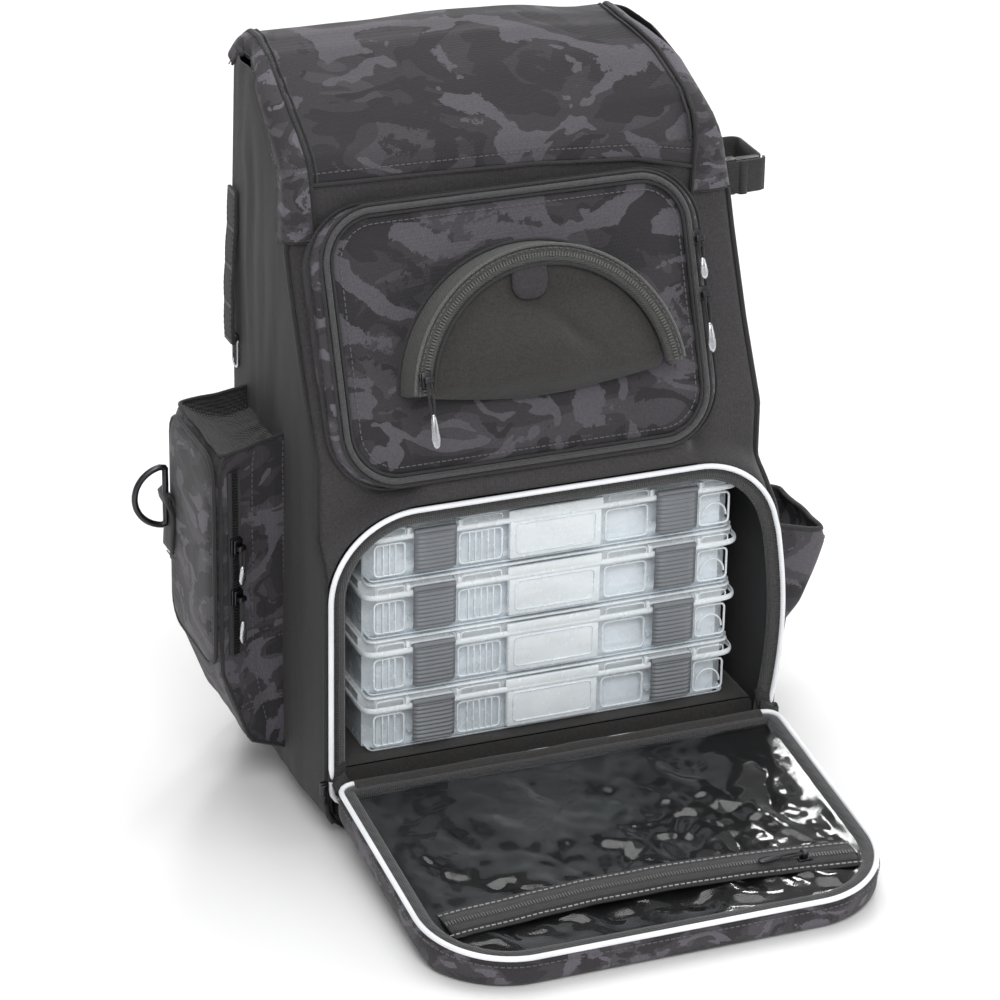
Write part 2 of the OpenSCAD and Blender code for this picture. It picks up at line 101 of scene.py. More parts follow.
def on_flap(x, y, z):
    return FLAP_HINGE + FLAP_TURN @ Vector((x, y, z))


# ---------------------------------------------------------------- small maths

def lerp(a, b, t):
    return a + (b - a) * t


def ease(t):
    t = min(max(t, 0.0), 1.0)
    return t * t * (3 - 2 * t)


def bump_between(t, a, b):
    """0 at a and b, 1 half way, and 0 outside."""
    return math.sin(math.pi * (t - a) / (b - a)) if a < t < b else 0.0


def table(points, key):
    """The value at key on a line through (key, value) points."""
    if key <= points[0][0]:
        return points[0][1]
    for (k0, v0), (k1, v1) in zip(points, points[1:]):
        if key <= k1:
            return lerp(v0, v1, (key - k0) / (k1 - k0))
    return points[-1][1]


def wrinkle(x, y, z, size, seed=0.0):
    return noise.noise(Vector((x / size + seed, y / size - seed, z / size + 2 * seed)))


def resample(points, pitch, closed=False):
    """Points about pitch apart along a path, with its directions."""
    pts = [Vector(p) for p in points] + ([Vector(points[0])] if closed else [])
    lengths = [(b - a).length for a, b in zip(pts, pts[1:])]
    count = max(2, round(sum(lengths) / pitch))
    out, seg, start = [], 0, 0.0
    for i in range(count + (0 if closed else 1)):
        s = sum(lengths) * i / count
        while seg < len(lengths) - 1 and s > start + lengths[seg]:
            start += lengths[seg]
            seg += 1
        t = (s - start) / max(lengths[seg], 1e-9)
        out.append((pts[seg].lerp(pts[seg + 1], min(t, 1)), (pts[seg + 1] - pts[seg]).normalized()))
    return out


def rounded_path(x0, x1, z0, z1, low_r, high_r, inset=0.0, step=6.0):
    """A closed [x, z] path round a rectangle with its own corner radii below and above, moved in by inset.
    Every inset gives the same number of points."""
    corners = ((x1 - low_r, z0 + low_r, low_r, -90), (x1 - high_r, z1 - high_r, high_r, 0),
               (x0 + high_r, z1 - high_r, high_r, 90), (x0 + low_r, z0 + low_r, low_r, 180))

    def on_corner(corner, angle):
        cx, cz, r, _ = corner
        return cx + max(r - inset, 0.3) * math.cos(angle), cz + max(r - inset, 0.3) * math.sin(angle)

    pts = []
    for k, corner in enumerate(corners):
        after = corners[(k + 1) % 4]
        turns = max(3, round(corner[2] * math.pi / 2 / step))
        pts += [on_corner(corner, math.radians(corner[3] + 90 * i / turns)) for i in range(turns + 1)]
        a, b = pts[-1], on_corner(after, math.radians(after[3]))
        gap = math.hypot(after[0] - corner[0], after[1] - corner[1]) - abs(after[2] - corner[2])
        count = max(1, round(gap / step))
        pts += [(lerp(a[0], b[0], i / count), lerp(a[1], b[1], i / count)) for i in range(1, count)]
    return pts


# ---------------------------------------------------------------- pieces

def finish_piece(obj, material, body, nodes=(), smooth=True):
    obj.data.materials.append(material)
    if smooth and obj.type == "MESH":
        obj.data.polygons.foreach_set("use_smooth", [True] * len(obj.data.polygons))
    if isinstance(body, tuple):
        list(body)
        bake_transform(obj)
    else:
        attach(obj, body)
    if nodes:
        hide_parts(*nodes)
    return obj


def mesh_piece(name, verts, faces, material, body, nodes=(), smooth=True):
    mesh = bpy.data.meshes.new(name)
    mesh.from_pydata([Vector(v) * MM for v in verts], [], faces)
    mesh.validate()
    obj = bpy.data.objects.new(name, mesh)
    bpy.context.scene.collection.objects.link(obj)
    return finish_piece(obj, material, body, nodes, smooth)


def grid_faces(nu, nv, close_u=False):
    last = nu if close_u else nu - 1
    return [(i + j * nu, (i + 1) % nu + j * nu, (i + 1) % nu + (j + 1) * nu, i + (j + 1) * nu)
            for j in range(nv - 1) for i in range(last)]


def patch(name, nu, nv, f, material, body, nodes=(), thick=1.4, offset=-1.0, close_u=False, subdiv=1):
    """A sheet f(u, v), with u and v from 0 to 1, made solid with the given thickness."""
    du = nu if close_u else nu - 1
    verts = [f(i / du, j / (nv - 1)) for j in range(nv) for i in range(nu)]
    obj = mesh_piece(name, verts, grid_faces(nu, nv, close_u), material, body, nodes)
    if thick:
        solid = obj.modifiers.new("thickness", "SOLIDIFY")
        solid.thickness = thick * MM
        solid.offset = offset
    if subdiv:
        obj.modifiers.new("smooth", "SUBSURF").levels = subdiv
        obj.modifiers["smooth"].render_levels = subdiv
    return obj


def tube(name, points, radius, material, body, nodes=(), closed=False, sides=3):
    curve = bpy.data.curves.new(name, "CURVE")
    curve.dimensions = "3D"
    curve.bevel_depth = radius * MM
    curve.bevel_resolution = sides
    curve.use_fill_caps = True
    spline = curve.splines.new("POLY")
    spline.points.add(len(points) - 1)
    for p, v in zip(spline.points, points):
        p.co = (*(Vector(v) * MM), 1)
    spline.use_cyclic_u = closed
    obj = bpy.data.objects.new(name, curve)
    bpy.context.scene.collection.objects.link(obj)
    if isinstance(body, tuple):
        mesh = bpy.data.meshes.new_from_object(obj)
        bpy.data.objects.remove(obj)
        obj = bpy.data.objects.new(name, mesh)
        bpy.context.scene.collection.objects.link(obj)
    return finish_piece(obj, material, body, nodes)


def ribbon(name, points, normals, width, material, body, nodes=(), closed=False, thick=0.8):
    """A flat strip of the given width that runs along points, square to normals."""
    n = len(points)
    verts = []
    for i, (p, normal) in enumerate(zip(points, normals)):
        before = points[(i - 1) % n if closed else max(i - 1, 0)]
        after = points[(i + 1) % n if closed else min(i + 1, n - 1)]
        across = (Vector(after) - Vector(before)).normalized().cross(Vector(normal)).normalized()
        verts += [Vector(p) + across * width * t for t in (-0.5, -0.17, 0.17, 0.5)]
    faces = []
    for i in range(n if closed else n - 1):
        a, b = 4 * i, 4 * ((i + 1) % n)
        faces += [(a + k, a + k + 1, b + k + 1, b + k) for k in range(3)]
    obj = mesh_piece(name, verts, faces, material, body, nodes)
    solid = obj.modifiers.new("thickness", "SOLIDIFY")
    solid.thickness = thick * MM
    solid.offset = 0
    return obj


BLOCK = [(-1, -1, -1), (1, -1, -1), (1, 1, -1), (-1, 1, -1), (-1, -1, 1), (1, -1, 1), (1, 1, 1), (-1, 1, 1)]
BLOCK_FACES = [(0, 3, 2, 1), (4, 5, 6, 7), (0, 1, 5, 4), (1, 2, 6, 5), (2, 3, 7, 6), (3, 0, 4, 7)]


def studs(name, places, size, material, body, nodes=(), bevel=0.0, lift=0.0):
    """Small blocks in one mesh. Each place is (centre, direction along, normal)."""
    verts, faces = [], []
    for centre, along, normal in places:
        along = Vector(along).normalized()
        across = along.cross(Vector(normal)).normalized()
        up = across.cross(along)
        base = len(verts)
        for x, y, z in BLOCK:
            verts.append(Vector(centre) + along * x * size[0] / 2 + across * y * size[1] / 2
                         + up * (z * size[2] / 2 + lift))
        faces += [[base + k for k in face] for face in BLOCK_FACES]
    obj = mesh_piece(name, verts, faces, material, body, nodes, smooth=False)
    if bevel:
        mod = obj.modifiers.new("bevel", "BEVEL")
        mod.width = bevel * MM
        mod.segments = 2
    return obj


def stitches(name, points, normal, body, closed=False, pitch=4.2, material=None):
    places = [(p, d, normal(p) if callable(normal) else normal) for p, d in resample(points, pitch, closed)]
    return studs(name, places, (2.7, 0.7, 0.6), material or THREAD, body)


def teeth(name, points, normal, body, closed=False, material=None, width=4.4):
    """A nylon coil: short cross bars along the zip."""
    places = []
    for p, d in resample(points, 2.1, closed):
        n = Vector(normal(p) if callable(normal) else normal)
        places.append((p, d.cross(n).normalized(), n))
    return studs(name, places, (width, 1.1, 1.3), material or ZIP_COIL, body, lift=0.4)


def loft(name, rings, material, body, nodes=()):
    """A closed solid through rings of the same number of points."""
    n = len(rings[0])
    verts = [v for ring in rings for v in ring]
    faces = grid_faces(n, len(rings), True)
    faces.append(list(range(n))[::-1])
    faces.append([len(verts) - n + i for i in range(n)])
    return mesh_piece(name, verts, faces, material, body, nodes)


# ---------------------------------------------------------------- materials

class Nodes:
    """A material's node tree, with short calls."""

    def __init__(self, name):
        self.material = bpy.data.materials.new(name)
        self.material.use_nodes = True
        self.tree = self.material.node_tree
        self.shader = self.tree.nodes["Principled BSDF"]
        self.where = self.tree.nodes.new("ShaderNodeTexCoord").outputs["Object"]

    def add(self, kind, inputs=(), **settings):
        node = self.tree.nodes.new(kind)
        for key, value in settings.items():
            setattr(node, key, value)
        for key, value in dict(inputs).items():
            if isinstance(value, bpy.types.NodeSocket):
                self.tree.links.new(value, node.inputs[key])
            else:
                node.inputs[key].default_value = value
        return node.outputs[0]

    def noise(self, scale, detail=2.0, rough=0.5, distortion=0.0, where=None):
        return self.add("ShaderNodeTexNoise",
                        {"Vector": where or self.where, "Scale": scale, "Detail": detail,
                                               "Roughness": rough, "Distortion": distortion})

    def stretched(self, scale):
        return self.add("ShaderNodeMapping", {"Vector": self.where, "Scale": scale})

    def wave(self, direction, scale, where=None):
        return self.add("ShaderNodeTexWave", {"Vector": where or self.where, "Scale": scale},
                        bands_direction=direction)

    def math(self, operation, a, b=0.0, c=0.0):
        return self.add("ShaderNodeMath", {0: a, 1: b, 2: c}, operation=operation)

    def ramp(self, factor, stops, mode="LINEAR"):
        node = self.tree.nodes.new("ShaderNodeValToRGB")
        node.color_ramp.interpolation = mode
        while len(node.color_ramp.elements) < len(stops):
            node.color_ramp.elements.new(0.5)
        for element, (place, colour) in zip(node.color_ramp.elements, stops):
            element.position = place
            element.color = (*colour, 1)
        self.tree.links.new(factor, node.inputs[0])
        return node.outputs[0]

    def mix(self, factor, a, b, blend="MIX"):
        node = self.tree.nodes.new("ShaderNodeMix")
        node.data_type = "RGBA"
        node.blend_type = blend
        for socket, value in ((node.inputs[0], factor), (node.inputs[6], a), (node.inputs[7], b)):
            if isinstance(value, bpy.types.NodeSocket):
                self.tree.links.new(value, socket)
            else:
                socket.default_value = value if isinstance(value, float) else (*value, 1)
        return node.outputs[2]

    def bump(self, height, strength, distance, before=None):
        inputs = {"Height": height, "Strength": strength, "Distance": distance}
        if before:
            inputs["Normal"] = before
        return self.add("ShaderNodeBump", inputs)

    def done(self, colour, roughness, normal=None, **sockets):
        values = {"Base Color": colour, "Roughness": roughness, **sockets}
        if normal:
            values["Normal"] = normal
        for key, value in values.items():
            socket = self.shader.inputs[key.replace("_", " ")]
            if isinstance(value, bpy.types.NodeSocket):
                self.tree.links.new(value, socket)
            elif isinstance(value, tuple) and len(value) == 3:
                socket.default_value = (*value, 1)
            else:
                socket.default_value = value
        return self.material


def weave_height(n, pitch):
    """A plain weave: three sets of bands, so that two of them cross on any upright or level face."""
    scale = 2 * math.pi / 20 / (pitch * MM)
    bands = [n.wave(d, scale) for d in "XYZ"]
    return n.math("ADD", n.math("ADD", bands[0], bands[1]), bands[2])


def fabric(name, colour, pitch=1.1, strength=0.35, rough=0.86, sheen=0.25, wear=0.25):
    n = Nodes(name)
    broad = n.noise(7, 4)
    fine = n.noise(620, 3)
    shade = n.math("ADD", n.math("MULTIPLY", broad, wear), n.math("MULTIPLY", fine, 0.9))
    dark = tuple(c * 0.62 for c in colour)
    light = tuple(c * 1.5 for c in colour)
    tint = n.ramp(shade, [(0.3, dark), (0.85, light)])
    normal = n.bump(weave_height(n, pitch), strength, 0.0005)
    normal = n.bump(n.noise(38, 3), 0.12, 0.004, normal)
    return n.done(tint, n.ramp(broad, [(0.3, (rough - 0.08,) * 3), (0.7, (rough + 0.06,) * 3)]), normal,
                  Sheen_Weight=sheen, Sheen_Roughness=0.45)


def camo(name, lift=1.0, size=1.0, speckle=1.0, seed=0.0):
    """Dark printed camouflage: crisp black and grey patches, and pale patches that break into speckles."""
    n = Nodes(name)
    place = n.add("ShaderNodeMapping", {"Vector": n.where, "Location": (seed, seed * 0.7, seed * 1.3),
                                        "Rotation": (0.3, 0.5, 0.35), "Scale": (size, size, 1.7 * size)})
    big = n.noise(14, 2.2, 0.5, 1.1, place)
    second = n.noise(17, 2.0, 0.45, 1.6, n.add("ShaderNodeMapping",
                                               {"Vector": place, "Location": (3.1, 1.7, 0.4)}))
    grit = n.math("MULTIPLY", n.math("SUBTRACT", n.noise(150, 4, 0.7, 0.5), 0.5), 0.34 * speckle)
    edge = n.math("ADD", second, n.math("MULTIPLY", grit,
                                        n.ramp(n.noise(16, 1), [(0.42, (0.12,) * 3), (0.6, (1.0,) * 3)])))
    black, coal, mid, pale = [tuple(c * lift for c in shade) for shade in (
        (0.0175, 0.0155, 0.018), (0.030, 0.027, 0.0315), (0.047, 0.043, 0.050), (0.078, 0.0715, 0.085))]
    ground = n.ramp(big, [(0.0, black), (0.43, coal), (0.56, mid)], "CONSTANT")
    over = n.ramp(edge, [(0.0, (0, 0, 0)), (0.57, (1, 1, 1))], "CONSTANT")
    dark_over = n.ramp(edge, [(0.0, (1, 1, 1)), (0.405, (0, 0, 0))], "CONSTANT")
    tint = n.mix(over, ground, pale)
    tint = n.mix(dark_over, tint, black)
    tint = n.mix(0.35, tint, n.ramp(n.noise(700, 2), [(0.25, (0.45,) * 3), (0.75, (1.5,) * 3)]), "MULTIPLY")
    normal = n.bump(weave_height(n, 1.0), 0.3, 0.0004)
    normal = n.bump(n.noise(34, 3), 0.12, 0.004, normal)
    return n.done(tint, 0.8, normal, Sheen_Weight=0.12, Sheen_Roughness=0.4)


def ribbed(name, colour, pitch, direction="Z", rough=0.6, strength=0.8, sheen=0.1, depth=0.0006):
    n = Nodes(name)
    lines = n.wave(direction, 2 * math.pi / 20 / (pitch * MM))
    tint = n.mix(n.ramp(n.noise(300, 2), [(0.3, (0.25,) * 3), (0.7, (0.75,) * 3)]),
                 tuple(c * 0.65 for c in colour), tuple(c * 1.25 for c in colour))
    return n.done(tint, rough, n.bump(lines, strength, depth), Sheen_Weight=sheen)


def plastic(name, colour, rough=0.4, grain=900, strength=0.08):
    n = Nodes(name)
    tint = n.mix(n.ramp(n.noise(24, 3), [(0.3, (0.2,) * 3), (0.7, (0.8,) * 3)]),
                 tuple(c * 0.85 for c in colour), tuple(c * 1.15 for c in colour))
    return n.done(tint, n.ramp(n.noise(60, 3), [(0.3, (rough - 0.05,) * 3), (0.7, (rough + 0.08,) * 3)]),
                  n.bump(n.noise(grain, 2), strength, 0.0003))


def metal(name, colour, rough=0.3, metallic=1.0):
    n = Nodes(name)
    tint = n.mix(n.ramp(n.noise(90, 3), [(0.35, (0.1,) * 3), (0.65, (0.9,) * 3)]),
                 tuple(c * 0.75 for c in colour), colour)
    return n.done(tint, n.ramp(n.noise(240, 3), [(0.3, (rough - 0.08,) * 3), (0.7, (rough + 0.1,) * 3)]),
                  n.bump(n.noise(500, 2), 0.05, 0.0002), Metallic=metallic)


def clear_plastic(name, colour, transmission, rough):
    """Milky polypropylene with faint flow lines and scuffs."""
    n = Nodes(name)
    flow = n.noise(22, 3, 0.5, 0.4, n.stretched((1, 1, 3)))
    tint = n.mix(n.ramp(flow, [(0.35, (0.0,) * 3), (0.65, (1.0,) * 3)]), tuple(c * 0.9 for c in colour),
                 colour)
    return n.done(tint, n.ramp(n.noise(110, 4), [(0.35, (rough,) * 3), (0.7, (rough + 0.16,) * 3)]),
                  n.bump(n.noise(160, 3), 0.06, 0.0004), Transmission_Weight=transmission, IOR=1.49,
                  Specular_IOR_Level=0.5)


PLAIN = fabric("plain_weave", (0.030, 0.0275, 0.0305), sheen=0.12)
# Painted shade: a darker copy of the plain weave, standing in for the shade that falls on the body's flanks.
PLAIN_SHADED_FLANK = fabric("side_weave_painted_shade", (0.0255, 0.0232, 0.0252), sheen=0.08)
PLAIN_LIGHT = fabric("trim_weave", (0.035, 0.0325, 0.0345))
LINING = fabric("black_lining", (0.008, 0.008, 0.009), 0.7, 0.2, 0.62, 0.12)
BORDER = fabric("foam_border", (0.042, 0.042, 0.044), 1.4, 0.6, 0.9, 0.3)
MESH_DARK = fabric("dark_mesh", (0.014, 0.014, 0.015), 2.2, 0.9, 0.85, 0.15)
MESH = fabric("spacer_mesh", (0.035, 0.035, 0.037), 2.6, 0.9, 0.9, 0.2)
CAMO = camo("camo_print")
CAMO_LID = camo("camo_print_lid", 1.0, 0.85, 0.9, 0.37)
CAMO_PALE = camo("camo_print_wing", 1.45, 1.7, 1.5, 1.9)
CAMO_DARK = camo("camo_print_side", 1.22, 1.15, 1.0, 0.9)
WEBBING = ribbed("webbing", (0.016, 0.0155, 0.017), 1.2, "Z", 0.62, 0.6)
ZIP_TAPE = ribbed("zip_tape", (0.1, 0.103, 0.1), 1.3, "X", 0.75, 0.9)
ZIP_COIL = plastic("zip_coil", (0.11, 0.112, 0.112), 0.42)
DARK_COIL = plastic("dark_zip_coil", (0.02, 0.02, 0.021), 0.4)
PIPING = fabric("grey_piping", (0.05, 0.05, 0.052), 0.9, 0.5, 0.6, 0.2)
BLACK_PIPING = fabric("black_piping", (0.01, 0.01, 0.011), 0.9, 0.5, 0.6, 0.1)
WHITE = plastic("white_piping", (0.88, 0.89, 0.92), 0.4, 300, 0.03)
THREAD = fabric("thread", (0.09, 0.087, 0.092), 0.4, 0.4, 0.7, 0.1)
SEAM_TAPE = fabric("seam_tape", (0.02, 0.019, 0.021), 0.9, 0.4, 0.75, 0.1)
BOX_PLASTIC = clear_plastic("milky_polypropylene", (0.87, 0.945, 1.0), 0.1, 0.2)
LID_PLASTIC = clear_plastic("milky_polypropylene_lid", (0.92, 0.97, 1.0), 0.13, 0.18)
LATCH = plastic("latch_plastic", (0.185, 0.195, 0.21), 0.42)
BUCKLE = plastic("buckle_plastic", (0.016, 0.016, 0.017), 0.36)
SILVER = metal("cast_silver", (0.62, 0.63, 0.65), 0.28)
GUNMETAL = metal("black_slider", (0.07, 0.07, 0.075), 0.34)
CORD = fabric("pull_cord", (0.02, 0.02, 0.021), 0.8, 0.6, 0.7, 0.1)
PLAIN_DARK = fabric("pouch_weave", (0.03, 0.028, 0.027), 0.9, 0.35, 0.9, 0.12)
BAND = ribbed("ribbed_band", (0.06, 0.062, 0.058), 1.5, "Z", 0.7, 0.6)
BAND_EDGE = fabric("band_edge", (0.09, 0.092, 0.087), 0.8, 0.5, 0.6, 0.2)
ZIP_TAPE_WARM = ribbed("window_zip_tape", (0.05, 0.047, 0.047), 1.4, "X", 0.75, 0.9)
WHITE_THREAD = fabric("white_thread", (0.42, 0.42, 0.42), 0.4, 0.3, 0.6, 0.1, 0.1)
FILM = clear_plastic("clear_film", (0.93, 0.95, 0.96), 1.0, 0.035)

SLOTS = {
    "plain_fabric": (PLAIN, PLAIN_SHADED_FLANK, PLAIN_LIGHT, PLAIN_DARK, LINING, SEAM_TAPE, BLACK_PIPING, PIPING,
                     THREAD, CORD),
    "camo_fabric": (CAMO, CAMO_LID, CAMO_PALE, CAMO_DARK), "foam": (BORDER, MESH, MESH_DARK),
    "white_piping": (WHITE, WHITE_THREAD), "zip_tape": (ZIP_TAPE, ZIP_COIL, DARK_COIL, BAND, BAND_EDGE,
            ZIP_TAPE_WARM),
    "clear_pvc": (FILM,), "black_metal": (GUNMETAL,), "silver_metal": (SILVER,), "webbing": (WEBBING,),
    "buckle_plastic": (BUCKLE,), "clear_polypropylene": (BOX_PLASTIC, LID_PLASTIC), "latch_plastic": (LATCH,),
}
for slot_name, slot_materials in SLOTS.items():
    for slot_material in slot_materials:
        slot_material["slot"] = slot_name

# ---------------------------------------------------------------- camera, light and floor

CAMERA_AT = Vector((-1.0114, -2.4994, 1.4627))
CAMERA_TURN = math.radians(-21.97)
CAMERA_DOWN = math.radians(25.32)
CAMERA_ROLL = math.radians(1.0)
LENS_MM, SENSOR_MM = 154.2, 36
FLOOR_HALF = 14


def make_camera():
    data = bpy.data.cameras.new("camera")
    data.lens = LENS_MM
    data.sensor_width = SENSOR_MM
    camera = bpy.data.objects.new("camera", data)
    bpy.context.scene.collection.objects.link(camera)
    turn = (Matrix.Rotation(CAMERA_TURN, 4, "Z") @ Matrix.Rotation(math.pi / 2 - CAMERA_DOWN, 4, "X")
            @ Matrix.Rotation(CAMERA_ROLL, 4, "Z"))
    camera.matrix_world = Matrix.Translation(CAMERA_AT) @ turn
    bpy.context.scene.camera = camera


def area_light(name, place, target, size, power, colour=(1, 1, 1)):
    data = bpy.data.lights.new(name, "AREA")
    data.shape = "RECTANGLE"
    data.size, data.size_y = size
    data.energy = power
    data.color = colour
    light = bpy.data.objects.new(name, data)
    bpy.context.scene.collection.objects.link(light)
    light.location = place
    light.rotation_euler = (Vector(target) - Vector(place)).to_track_quat("-Z", "Y").to_euler()


def make_studio():
    n = Nodes("pale_floor")
    floor_material = n.done(n.ramp(n.noise(3, 2), [(0.3, (0.9, 0.9, 0.9)), (0.7, (0.93, 0.93, 0.93))]), 0.6)
    mesh = bpy.data.meshes.new("floor")
    corners = [(-FLOOR_HALF, -FLOOR_HALF, 0), (FLOOR_HALF, -FLOOR_HALF, 0), (FLOOR_HALF, FLOOR_HALF, 0),
               (-FLOOR_HALF, FLOOR_HALF, 0)]
    mesh.from_pydata(corners, [], [(0, 1, 2, 3)])
    floor = bpy.data.objects.new("floor", mesh)
    bpy.context.scene.collection.objects.link(floor)
    mesh.materials.append(floor_material)
    world = bpy.data.worlds.new("studio")
    world.use_nodes = True
    tree = world.node_tree
    split = tree.nodes.new("ShaderNodeSeparateXYZ")
    tree.links.new(tree.nodes.new("ShaderNodeTexCoord").outputs["Generated"], split.inputs[0])
    ramp = tree.nodes.new("ShaderNodeValToRGB")
    for place, shade in ((0.08, 1.0), (0.34, 0.5), (0.8, 0.5), (0.97, 1.0)):
        element = ramp.color_ramp.elements.new(place)
        element.color = (shade, shade, shade, 1)
    ramp.color_ramp.elements[0].color = (1, 1, 1, 1)
    tree.links.new(split.outputs["Z"], ramp.inputs[0])
    tree.links.new(ramp.outputs[0], tree.nodes["Background"].inputs[0])
    tree.nodes["Background"].inputs[1].default_value = 0.8
    bpy.context.scene.world = world
    area_light("key", (-0.7, -2.5, 2.5), (0, 0, 0.25), (1.8, 1.4), 52)
    area_light("fill", (2.2, -1.2, 1.4), (0, 0, 0.25), (1.4, 1.6), 12)
    area_light("top", (0.1, 0.5, 2.6), (0, 0, 0.3), (2.2, 1.6), 30)
    area_light("strip_left", (0.2, 1.6, 1.95), (0, -0.2, 0), (0.42, 0.1), 5)
    area_light("strip_middle", (0.45, 1.9, 1.65), (0, -0.2, 0), (0.4, 0.16), 6)
    area_light("strip_right", (1.15, 1.5, 1.6), (0, -0.2, 0), (0.16, 0.6), 5)
    bpy.context.scene.view_settings.view_transform = "Standard"


make_camera()
make_studio()


# ---------------------------------------------------------------- body

SIDE_FRONT = [(0, FRONT), (OPEN_HIGH.z, FRONT), (279, -77), (324, -53), (381, -28), (402, SEAM.y),
              (SEAM.z, SEAM.y), (459, -18), (474, 3), (494, 31), (516, 63)]
OPEN_STEP = 5.0


def front_y(z):
    return table(SIDE_FRONT, z)


LEFT_EDGE = [(0, 165), (400, 165), (500, 162.5), (513, 157), (521, 150)]
RIGHT_EDGE = [(0, 165), (60, 167), (113, 173), (180, 165.5), (200, 162), (216, 156.5), (230, 153.5),
              (402, 153),
              (440, 146), (468, 138.5), (490, 131.5), (508, 119), (521, 108)]


def half_width(side, z):
    """Half the body's width: the right side bulges low down and leans in above the opening."""
    foot = 28 - math.sqrt(max(0.0, 28 ** 2 - (28 - z) ** 2)) if z < 28 else 0.0
    return table(RIGHT_EDGE if side > 0 else LEFT_EDGE, z) - foot


def corner_depth(x, z):
    """How far the front's top corners are drawn back, outside the opening's round corners."""
    across, up = abs(x) - (HALF_W - OPEN_R), z - (OPEN_HIGH.z - OPEN_R)
    return 17 * ease((math.hypot(across, up) - OPEN_R) / 13) if across > 0 and up > 0 else 0.0


def edge_y(side, z):
    """The front edge of a side panel."""
    return max(front_y(z), FRONT + corner_depth(half_width(side, z), z))


def opening_path(inset):
    """The opening's edge, moved in by inset. Its right side bulges with the body."""
    pts = rounded_path(-HALF_W, HALF_W, OPEN_LOW.z, OPEN_HIGH.z, 14, OPEN_R, inset, OPEN_STEP)
    return [(x + (7.5 * bump_between(z, 40, 190) if x > 120 else 0), z) for x, z in pts]


def arc_top(x):
    a = abs(x) - (HALF_W - OPEN_R)
    return OPEN_HIGH.z - (OPEN_R - math.sqrt(max(0.0, OPEN_R ** 2 - a * a)) if a > 0 else 0)


def folds(side, t, y, z):
    """How far the side panel stands out: a soft bulge and upright folds."""
    low = math.exp(-((z - 113) / 85) ** 2)
    full = 1.5 if side > 0 else 2.0 * low + 3.0
    edge = math.sin(math.pi * min(max(t, 0), 1)) ** 0.7
    if side < 0:
        edge *= 1 - 0.95 * bump_between(y, 55, 112) ** 0.3 * bump_between(z, 270, 440) ** 0.3
    return edge * (full + 2.2 * wrinkle(y, 0.16 * z, 0, 17, 3 * side) + 1.6 * wrinkle(y, z, 0, 55, side))


def body_skin(u, v):
    side = 1 if u > 0.5 else -1
    z, r = lerp(0, 504, v), 14
    w, yf = half_width(side, z), edge_y(side, z) + 2
    t = min(u, 1 - u)
    if t < 0.34:
        t /= 0.34
        y = lerp(yf, BACK - r, t)
        return side * (w + folds(side, t, y, z)), y, z
    if t < 0.38:
        a = (t - 0.34) / 0.04 * math.pi / 2
        return side * (w - r + r * math.cos(a)), BACK - r + r * math.sin(a), z
    x = side * lerp(w - r, 0, (t - 0.38) / 0.12)
    return x, BACK + 0.4 * wrinkle(x, z, 0, 60), z


def front_panel(u, v):
    across = math.sin(math.pi / 2 * (2 * u - 1))
    side = 1 if across > 0 else -1
    low = arc_top(across * (HALF_W - 0.2))
    z = lerp(low, SEAM.z + 1, v)
    x = across * half_width(side, z)
    if side > 0 and across > 0.9:
        x = max(x, min(across * HALF_W, HALF_W - OPEN_R + math.sqrt(max(0, OPEN_R ** 2 - max(
            0, z - (OPEN_HIGH.z - OPEN_R)) ** 2)))) if z < 216 else x
    edge = max(0.0, (abs(across) - 0.965) / 0.035)
    y = max(front_y(z), FRONT + corner_depth(x, z)) + 3.0 * edge * edge
    y -= ((4.5 * bump_between(z, 244, 268) + 0.9 * wrinkle(x, z, 0, 34)) * (1 - edge)
          * (1 - corner_depth(x, z) / 17))
    return x, y, z


